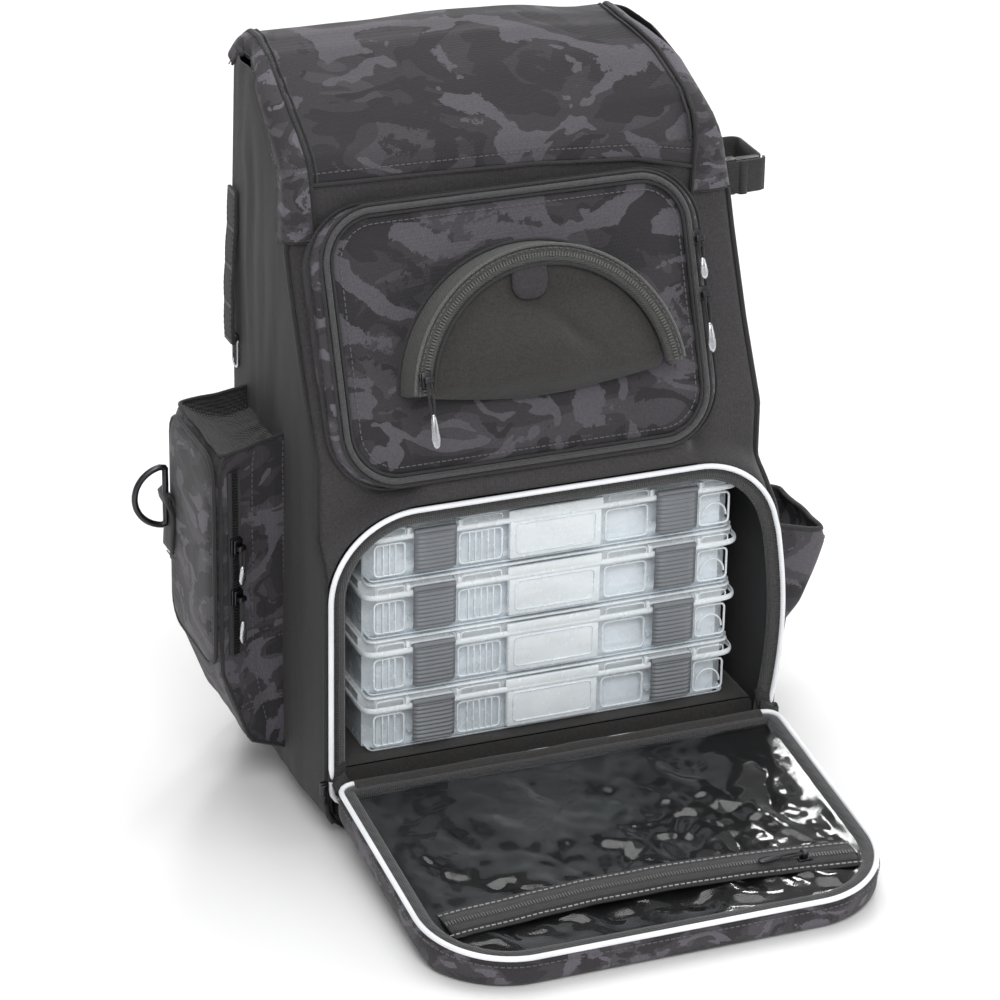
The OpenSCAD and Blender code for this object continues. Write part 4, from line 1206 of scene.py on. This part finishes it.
POUCH_RINGS = [pouch_ring(lerp(POUCH_LOW, POUCH_HIGH, j / 48)) for j in range(49)]


def pouch_point(u, v):
    ring = POUCH_RINGS[round(v * 48)]
    k = round(u * (len(ring) - 1))
    p = ring[k]
    before, after = ring[max(k - 1, 0)], ring[min(k + 1, len(ring) - 1)]
    normal = (after - before).cross(Vector((0, 0, 1))).normalized()
    front = bump_between(u, 0.02, 0.28) + bump_between(u, 0.30, 0.70) + bump_between(u, 0.72, 0.98)
    full = 2.6 * front * math.sin(math.pi * min(max(v, 0.02), 0.98)) ** 0.6
    crease = 1.6 * wrinkle(p.x + p.y, 0, p.z, 30, 2.0) + 1.0 * wrinkle(p.x + p.y, 0, 0.5 * p.z, 13, 5.0)
    return p - normal * (-full - crease * min(front + 0.2, 1))


def make_left_pocket():
    n = len(POUCH_RINGS[0])
    patch("left_pocket_skin", n, 49, pouch_point, CAMO_DARK, "pack", ["left_pocket"], thick=1.6, offset=0)
    patch("left_pocket_top", n, 9,
          lambda u, v: pouch_point(u, 1).lerp(Vector((-HALF_W - 1, lerp(-14, 56, u), 262)), v)
          - Vector((0, 0, 9 * math.sin(math.pi * v) + 1.5 * wrinkle(200 * u, 60 * v, 0, 20))),
          MESH_DARK, "pack",
          thick=1.2)
    patch("left_pocket_base", n, 3,
          lambda u, v: pouch_point(u, 0).lerp(Vector((-HALF_W - 1, lerp(-14, 56, u), 34)), v),
          PLAIN, "pack", thick=1.2)
    corner = next(i for i, p in enumerate(POUCH_RINGS[24])
                  if p.x < -table(POUCH_OUT, POUCH_RINGS[24][0].z) + 3.5)
    edge = [pouch_point(corner / (n - 1), j / 48) + Vector((-0.8, -0.9, 0)) for j in range(49)]
    tube("left_pocket_edge_piping", edge, 1.5, BLACK_PIPING, "pack")
    rim = [pouch_point(k / (n - 1), 1) + Vector((0, 0, 0.6)) for k in range(n)]
    tube("left_pocket_rim", rim, 1.5, BLACK_PIPING, "pack")
    normal = LEFT_TURN @ Vector((0, -1, 0))
    for name, u, first in (("middle", 0.145, 4), ("inner", 0.03, 2)):
        row = [pouch_point(round(u * (n - 1)) / (n - 1), j / 48) + normal * 1.1 for j in range(first, 48)]
        stitches("left_pocket_stitches_" + name, row, normal, "pack")
    for k in (8, 9):
        row = [pouch_point(i / (n - 1), k / 48) + normal * 1.1 for i in range(2, 20)]
        stitches(f"left_pocket_stitches_low_{k - 7}", row, normal, "pack")
    pin = joint_mm("left_pull_upper_swing") - normal * 7.4
    zip_line_left = [Vector((pin.x, pin.y, z)) + normal * 0.4 for z in range(124, 262, 3)]
    ribbon("left_zip_tape", zip_line_left, [normal] * len(zip_line_left), 11, SEAM_TAPE, "pack", thick=1.0)
    teeth("left_zip_coil", [p + normal * 0.7 for p in zip_line_left], normal, "pack", material=DARK_COIL)
    zipper("left_slider_upper", "left_pull_upper", LEFT_TURN, 28, 0)
    zipper("left_slider_lower", "left_pull_lower", LEFT_TURN, 34, 0)
    low, high = box_mm("left_door")
    path = rounded_path(low.y + 1, high.y - 1, low.z + 1, high.z - 1, 17, 17, 0, 6)
    door = cushion("left_door_panel", path, lambda y, d, z: Vector((high.x + d, y, z)),
                   lambda y, z, t: -1.4 - 3.0 * (1 - (1 - min(t * 4, 1)) ** 2)
                   - 0.8 * wrinkle(y, z, 0, 24) * min(t * 4, 1),
                   CAMO_DARK, "left_door", ["left_door"])
    tube("left_door_piping", [(high.x - 2, y, z) for y, z in path], 1.5, BLACK_PIPING, "left_door",
         closed=True)


def make_ring():
    bar = joint_mm("d_ring_swing")
    low, high = box_mm("d_ring")
    r, wire = (high.z - low.z) / 2 - 2.2, 2.2
    loop = [bar + Vector((-r * math.cos(a), 0, r * math.sin(a)))
            for a in (math.radians(t) for t in range(-82, 83, 6))]
    loop = [bar + Vector((-0.6, 0, -r + 1))] + loop + [bar + Vector((-0.6, 0, r - 1))]
    loop += [bar + Vector((0, 0, k * (r - 2) / 4)) for k in (4, 2, 0, -2, -4)]
    tube("d_ring_wire", loop, wire, GUNMETAL, "d_ring", ["d_ring"], closed=True, sides=5)
    t_low, t_high = box_mm("ring_tab")
    y = (t_low.y + t_high.y) / 2
    strap = [Vector((t_high.x - 0.4, y, z)) for z in range(int(t_low.z), 200, 4)]
    strap += [Vector((t_high.x - 2.6, y, 206)), Vector((bar.x + 3.4, bar.y, 213)),
              Vector((bar.x, bar.y, 216)),
              Vector((bar.x - 3.4, bar.y, 212)), Vector((bar.x - 3.2, bar.y, 206))]
    strap += [Vector((bar.x + 2.6 - 0.2 * k, y, 202 - 4 * k)) for k in range(0, 9)]
    points = smooth_line(strap, 2)
    normals = []
    for i, p in enumerate(points):
        d = points[min(i + 1, len(points) - 1)] - points[max(i - 1, 0)]
        normals.append(d.cross(Vector((0, 1, 0))))
    ribbon("ring_tab_webbing", points, normals, 20, WEBBING, "left_door", ["ring_tab"], thick=1.8)
    for k, z in enumerate((164, 182)):
        row = [(t_high.x - 3.4, y + s, z) for s in (-8, 0, 8)]
        stitches(f"ring_tab_stitches_{k + 1}", row, (-1, 0, 0), "left_door", pitch=3)


# ---------------------------------------------------------------- right pocket, rod strap, tool strip

def make_right_side():
    low, high = box_mm("right_pocket")
    outline = [(low.z, 190), (70, 201), (86, 215), (133, 234), (146, 230)]

    def wall(u, v):
        reach = ease(min(u, 1 - u) / 0.26)
        top = lerp(high.z, 143, reach) + 2.0 * wrinkle(u * 180, 0, 0, 26)
        z = lerp(low.z + 2, top, v)
        x = lerp(HALF_W + 0.5, table(outline, z), reach)
        y = lerp(low.y, high.y, ease((u - 0.16) / 0.68))
        sag = 1.6 * wrinkle(x + y, z, 0, 22, 6) + 1.4 * bump_between(v, 0, 1)
        return x + sag * reach, y + (1 if u > 0.5 else -1) * (1.5 * wrinkle(x, z, 0, 25)) * (1 - reach), z

    patch("right_pocket_skin", 57, 25, wall, CAMO_DARK, "pack", ["right_pocket"], thick=2, offset=0)
    base = [Vector(wall(k / 28, 0)) for k in range(29)]
    mesh_piece("right_pocket_base", base, [list(range(29))], PLAIN, "pack")
    rim = [Vector(wall(k / 56, 1)) for k in range(57)]
    tube("right_pocket_rim", rim, 2.0, BLACK_PIPING, "pack")
    row = [Vector(wall(k / 56, 0.9)) + Vector((1.4, 0, 0)) for k in range(12, 45)]
    stitches("right_pocket_stitches", row, (1, 0, 0), "pack")
    for name, k in (("front", 0.3), ("rear", 0.7)):
        tube("right_pocket_seam_" + name, [Vector(wall(k, v / 20)) for v in range(21)], 1.3, SEAM_TAPE,
             "pack")

    low, high = box_mm("rod_buckle_socket")
    mid = (low + high) / 2
    z = mid.z
    blocks("rod_buckle_socket_body", [
        ((low.x + 8, mid.y - 3.2, z), (13, 2.0, 25)), ((low.x + 8, mid.y + 3.2, z), (13, 2.0, 25)),
        ((low.x + 8, mid.y, z - 12), (13, 7.6, 2)), ((low.x + 8, mid.y, z + 12), (13, 7.6, 2)),
        ((low.x + 17, mid.y, z - 11.6), (8, 7.6, 3)), ((low.x + 17, mid.y, z + 11.6), (8, 7.6, 3)),
        ((low.x + 4.4, mid.y, z), (4, 7.8, 26))], lambda x, y, zz: Vector((x, y, zz)), BUCKLE, "pack",
        ["rod_buckle_socket"], 0.9)
    anchor = [Vector((low.x - 1 + t, mid.y, z)) for t in range(0, 7)]
    ribbon("rod_socket_webbing", anchor, [(0, -1, 0)] * 7, 24, WEBBING, "pack", thick=1.8)
    low, high = box_mm("rod_buckle_plug")
    y = (low.y + high.y) / 2
    blocks("rod_buckle_plug_body", [
        ((high.x - 9, y, z - 10.8), (17, 6.4, 3.4)), ((high.x - 9, y, z + 10.8), (17, 6.4, 3.4)),
        ((high.x - 15.5, y, z), (5, 6.6, 24.6)), ((high.x - 8, y, z), (3, 5.0, 20)),
        ((high.x - 1.8, y, z), (3.4, 6, 24.8)),
        ((low.x + 6, y, z - 8.0), (12, 2.8, 3.6)), ((low.x + 6, y, z + 8.0), (12, 2.8, 3.6))],
        lambda x, yy, zz: Vector((x, yy, zz)), BUCKLE, "rod_release", ["rod_buckle_plug"], 0.9)
    low, high = box_mm("rod_strap")
    mid_z = (low.z + high.z) / 2
    turn = 6
    path = [Vector((high.x - 5, low.y + 1, mid_z))]
    path += [Vector((high.x - 1 - turn + turn * math.sin(a), low.y + 1 + turn - turn * math.cos(a), mid_z))
             for a in (math.radians(k) for k in range(0, 91, 15))]
    path += [Vector((high.x - 1 - turn + turn * math.cos(a), high.y - 1 - turn + turn * math.sin(a), mid_z))
             for a in (math.radians(k) for k in range(0, 91, 15))]
    path += [Vector((lerp(high.x - 10, low.x, k / 8), high.y - 1, mid_z)) for k in range(9)]
    normals = [(b - a).cross(Vector((0, 0, 1))) for a, b in zip(path, path[1:])]
    cover = [Vector((x, low.y - 3.2 - 0.6 * math.sin((x - 166) / 8), mid_z))
             for x in range(166, int(high.x) - 2, 2)]
    cover += [Vector((high.x - 0.6, low.y - 1.6, mid_z)), Vector((high.x + 0.2, low.y + 2, mid_z))]
    ribbon("rod_strap_cover", cover, [(0, -1, 0)] * (len(cover) - 2) + [(0.7, -0.7, 0), (1, 0, 0)], 23.4,
           WEBBING,
           "rod_release", thick=1.6)
    keeper = [Vector((179 + 3.2 * math.cos(a), low.y - 3.2 + 2.2 * math.sin(a), mid_z))
              for a in (math.pi * k / 8 for k in range(16))]
    ribbon("rod_strap_keeper", keeper, [p - Vector((179, low.y - 3.2, mid_z)) for p in keeper], 24.6, WEBBING,
           "rod_release", closed=True, thick=1.0)
    ribbon("rod_strap_webbing", path, normals + normals[-1:], 23, WEBBING, "rod_release", ["rod_strap"],
           thick=1.8)

    low, high = box_mm("tool_strip")
    y = (low.y + high.y) / 2
    strip = [Vector((high.x - 3.0 - 3.5 * ease((80 - t) / 60) - 0.5 * abs(math.sin(math.pi * t / 20)), y,
                     lerp(low.z + 2, high.z, t / 80))) for t in range(81)]
    ribbon("tool_strip_webbing", strip, [(-1, 0, 0)] * 81, 17, PLAIN_DARK, "pack", ["tool_strip"], thick=2.2)
    for row_y in (y - 7, y + 7):
        row = [Vector((p.x - 1.3, row_y, p.z)) for p in strip[2:-2]]
        stitches(f"tool_strip_stitches_{'front' if row_y < y else 'rear'}", row, (-1, 0, 0), "pack")
    tacks = [(strip[t] - Vector((1.2, 0, 0)), (0, 1, 0), (-1, 0, 0)) for t in (1, 20, 40, 60, 79)]
    studs("tool_strip_tacks", tacks, (14, 2.6, 1.0), THREAD, "pack")
    bar = joint_mm("wire_clip_swing")
    blocks("wire_clip_hanger", [((0, 0, 0.2), (4.4, 7.6, 5.6))],
           lambda x, yy, zz: bar + Vector((x, yy, zz)), BUCKLE,
           "pack", bevel=1.2)
    half, leg = 5.6, 15
    loop = [bar + Vector((0, half, 0)), bar + Vector((0, half, -leg))]
    loop += [bar + Vector((0, half * math.cos(a), -leg - half * math.sin(a)))
             for a in (math.radians(k) for k in range(15, 166, 15))]
    loop += [bar + Vector((0, -half, -leg)), bar + Vector((0, -half, 0))]
    tube("wire_clip_loop", [p for p, _ in resample(loop, 1.5)], 0.95, SILVER, "wire_clip", ["wire_clip"],
         closed=True)


# ---------------------------------------------------------------- back, straps and handle

def make_back():
    low, high = box_mm("back_padding")

    def pad(name, x0, x1, z0, z1, r, thick, nodes=()):
        path = rounded_path(x0, x1, z0, z1, r, r, 0, 8)

        def depth(x, z, t):
            groove = 1.8 * math.exp(-(((z - z0) % 46 - 23) / 3.2) ** 2) * min(t * 5, 1)
            return (thick - 1.5) * (1 - (1 - min(t * 7, 1)) ** 2) + 1.5 * math.sin(math.pi / 2 * t) - groove

        panel = cushion(name, path, lambda x, d, z: Vector((x, low.y - 0.4 + d, z)), depth, MESH, "pack",
                        nodes, rows=26,
                        thick=0)
        tube(name + "_binding", [(x, low.y + 1.2, z) for x, z in path], 1.8, BLACK_PIPING, "pack",
             closed=True)

    pad("back_pad_left", -124, -20, 156, 434, 24, high.y - low.y - 1, ["back_padding"])
    pad("back_pad_right", 20, 124, 156, 434, 24, high.y - low.y - 1)
    pad("lumbar_pad", -59, 59, low.z, 142, 26, high.y - low.y)
    sheet_low, sheet_high = box_mm("frame_sheet")
    cover = rounded_path(sheet_low.x, sheet_high.x, sheet_low.z, sheet_high.z, 30, 30, 0, 10)
    cushion("back_cover", cover, lambda x, d, z: Vector((x, sheet_high.y + d, z)),
            lambda x, z, t: -1.4 + 1.5 * min(t * 12, 1), PLAIN_DARK, "pack", ["frame_sheet"], rows=14,
            thick=0)
    tube("back_cover_binding", [(x, sheet_high.y - 0.8, z) for x, z in cover], 1.3, BLACK_PIPING, "pack",
         closed=True)
    centre_line = [(105, 457), (122, 447), (140, 425), (144.5, 397), (149, 365), (150.5, 330), (149, 262),
                   (141.5, 199)]
    for side, name in ((-1, "left"), (1, "right")):
        node = "shoulder_strap_" + name
        s_low, s_high = box_mm(node)
        x_mid, half = (s_low.x + s_high.x) / 2, (s_high.x - s_low.x) / 2
        line = resample([Vector((0, y, z)) for y, z in centre_line], 7)
        rings = []
        for i, (p, d) in enumerate(line):
            t = i / (len(line) - 1)
            normal = Vector((0, -d.z, d.y)).normalized()
            taper = 1 - 0.34 * ease((t - 0.82) / 0.18)
            thick = 5.4 * (1 - 0.7 * ease((t - 0.9) / 0.1)) * (1 - 0.5 * ease((0.08 - t) / 0.08))
            ring = []
            for k in range(28):
                a = 2 * math.pi * k / 28
                cx, sy = math.cos(a), math.sin(a)
                x = half * taper * math.copysign(abs(cx) ** 0.45, cx)
                off = thick * math.copysign(abs(sy) ** 0.6, sy) * (1 + 0.08 * math.sin(i * 0.9))
                ring.append(Vector((x_mid + x, p.y, p.z)) + normal * off)
            rings.append(ring)
        strap = loft(node + "_pad", rings, MESH, "pack", [node])
        strap.modifiers.new("smooth", "SUBSURF").levels = 1
        for edge_side in (-1, 1):
            edge = [r[0 if edge_side > 0 else 14] for r in rings]
            tube(f"{node}_binding_{'outer' if edge_side > 0 else 'inner'}", edge, 1.7, BLACK_PIPING, "pack")
        runner = [Vector((x_mid, p.y, p.z)) + Vector((0, -d.z, d.y)).normalized() * -6.4
                  for p, d in line[4:-3]]
        ribbon(node + "_webbing", runner, [Vector((0, 1, 0.2))] * len(runner), 20, WEBBING, "pack", thick=1.4)
        lower = [Vector((x_mid, y, z)) for y, z in ((107, 63), (113, 67), (120.4, 73), (124, 96),
                (131, 135), (140, 196))]
        lower = [p for p, _ in resample(lower, 6)]
        ribbon(node + "_lower_webbing", lower, [Vector((0, 1, -0.1))] * len(lower), 24.5, WEBBING, "pack",
               thick=1.8)
        blocks(node + "_ladder_lock", [((0, 0, 6), (32, 5.4, 3.4)), ((0, 0, -6), (32, 5.4, 3.4)),
                                       ((0, 0, 0), (32, 5, 2.6)),
                                       ((14.6, 0, 0), (3.4, 5.6, 14)), ((-14.6, 0, 0), (3.4, 5.6, 14))],
               lambda x, y, z, m=x_mid: Vector((m + x, 141.2 + y, 198.4 + z)), BUCKLE, "pack", bevel=1.0)

    low, high = box_mm("sternum_webbing")
    mid_z = (low.z + high.z) / 2
    line = [Vector((lerp(low.x, high.x + 3, k / 20), high.y - 0.9, mid_z)) for k in range(21)]
    ribbon("sternum_webbing_left", line, [(0, 1, 0)] * 21, 21, WEBBING, "pack", ["sternum_webbing"],
           thick=1.8)
    low, high = box_mm("sternum_socket")
    y = (low.y + high.y) / 2
    blocks("sternum_socket_body", [
        ((low.x + 12, y + 3, mid_z), (22, 1.6, 23)), ((low.x + 12, y - 3, mid_z), (22, 1.6, 23)),
        ((low.x + 12, y, mid_z - 10.6), (23, 7, 2)), ((low.x + 12, y, mid_z + 10.6), (23, 7, 2)),
        ((low.x + 3, y, mid_z), (5, 7.2, 23.4))], lambda x, yy, zz: Vector((x, yy, zz)), BUCKLE, "pack",
        ["sternum_socket"], 0.8)
    low, high = box_mm("sternum_plug")
    y = (low.y + high.y) / 2
    blocks("sternum_plug_body", [
        ((low.x + 16.5, y, mid_z), (5, 5.8, 21)), ((low.x + 24, y, mid_z + 9.4), (17, 5.6, 2.6)),
        ((low.x + 24, y, mid_z - 9.4), (17, 5.6, 2.6)), ((low.x + 31.4, y, mid_z), (3.2, 5.6, 21)),
        ((low.x + 7, y, mid_z - 6.4), (14, 2.6, 3.6)), ((low.x + 7, y, mid_z + 6.4), (14, 2.6, 3.6))],
        lambda x, yy, zz: Vector((x, yy, zz)), BUCKLE, "sternum_release", ["sternum_plug"], 0.8)
    line = [Vector((lerp(low.x + 30, high.x, k / 20), y + 0.2, mid_z)) for k in range(21)]
    ribbon("sternum_webbing_right", line, [(0, 1, 0)] * 21, 21, WEBBING, "sternum_release", thick=1.8)

    low, high = box_mm("haul_handle")
    hinge = joint_mm("haul_handle_swing")
    y_grip = high.y - 6.5
    z_grip = low.z + 6.5
    for side, name in ((-1, "left"), (1, "right")):
        leg = [Vector((side * 34, hinge.y, hinge.z)), Vector((side * 34, hinge.y + 0.6, hinge.z - 16)),
               Vector((side * 34, y_grip - 1, z_grip + 8)), Vector((side * 33, y_grip, z_grip + 3))]
        leg = smooth_line([p for p, _ in resample(leg, 3)], 3)
        ribbon("haul_leg_" + name, leg, [(0, 1, 0.1)] * len(leg), 11, WEBBING, "haul_handle", thick=2.6)
    rings = []
    for k in range(25):
        t = k / 24
        r = 6.4 * (1 - (abs(2 * t - 1)) ** 8 * 0.35)
        rings.append([Vector((lerp(low.x, high.x, t), y_grip + r * math.cos(a),
                              z_grip - 1.5 * math.sin(math.pi * t) + 1
                              + r * math.sin(a))) for a in (2 * math.pi * q / 20 for q in range(20))])
    grip = loft("haul_grip", rings, PLAIN_DARK, "haul_handle", ["haul_handle"])
    row = [(x, y_grip + 6.4, z_grip) for x in range(int(low.x) + 6, int(high.x) - 4, 4)]
    stitches("haul_grip_stitches", row, (0, 1, 0), "haul_handle")


def make_opening_sliders():
    for name in ("left", "right"):
        node = "zip_slider_" + name
        low, high = box_mm(node)
        mid = (low + high) / 2
        blocks(node + "_body", [((0, 1.2, 3), (4.8, 3.6, 9.6)), ((0, -1.8, 3), (4.2, 2.2, 8)),
                                ((0, -2.6, -4.4), (3.2, 1.6, 6.8)),
                                ((0, 0, 4.4), (2, 5, 2.6))], lambda x, y, z, m=mid: m + Vector((x, y, z)),
                                GUNMETAL, node,
               [node], 0.8)


make_body()
make_lid()
make_front_pocket()
make_flap()
for number in (1, 2, 3, 4):
    make_tray(number)
make_left_pocket()
make_ring()
make_right_side()
make_back()
make_opening_sliders()
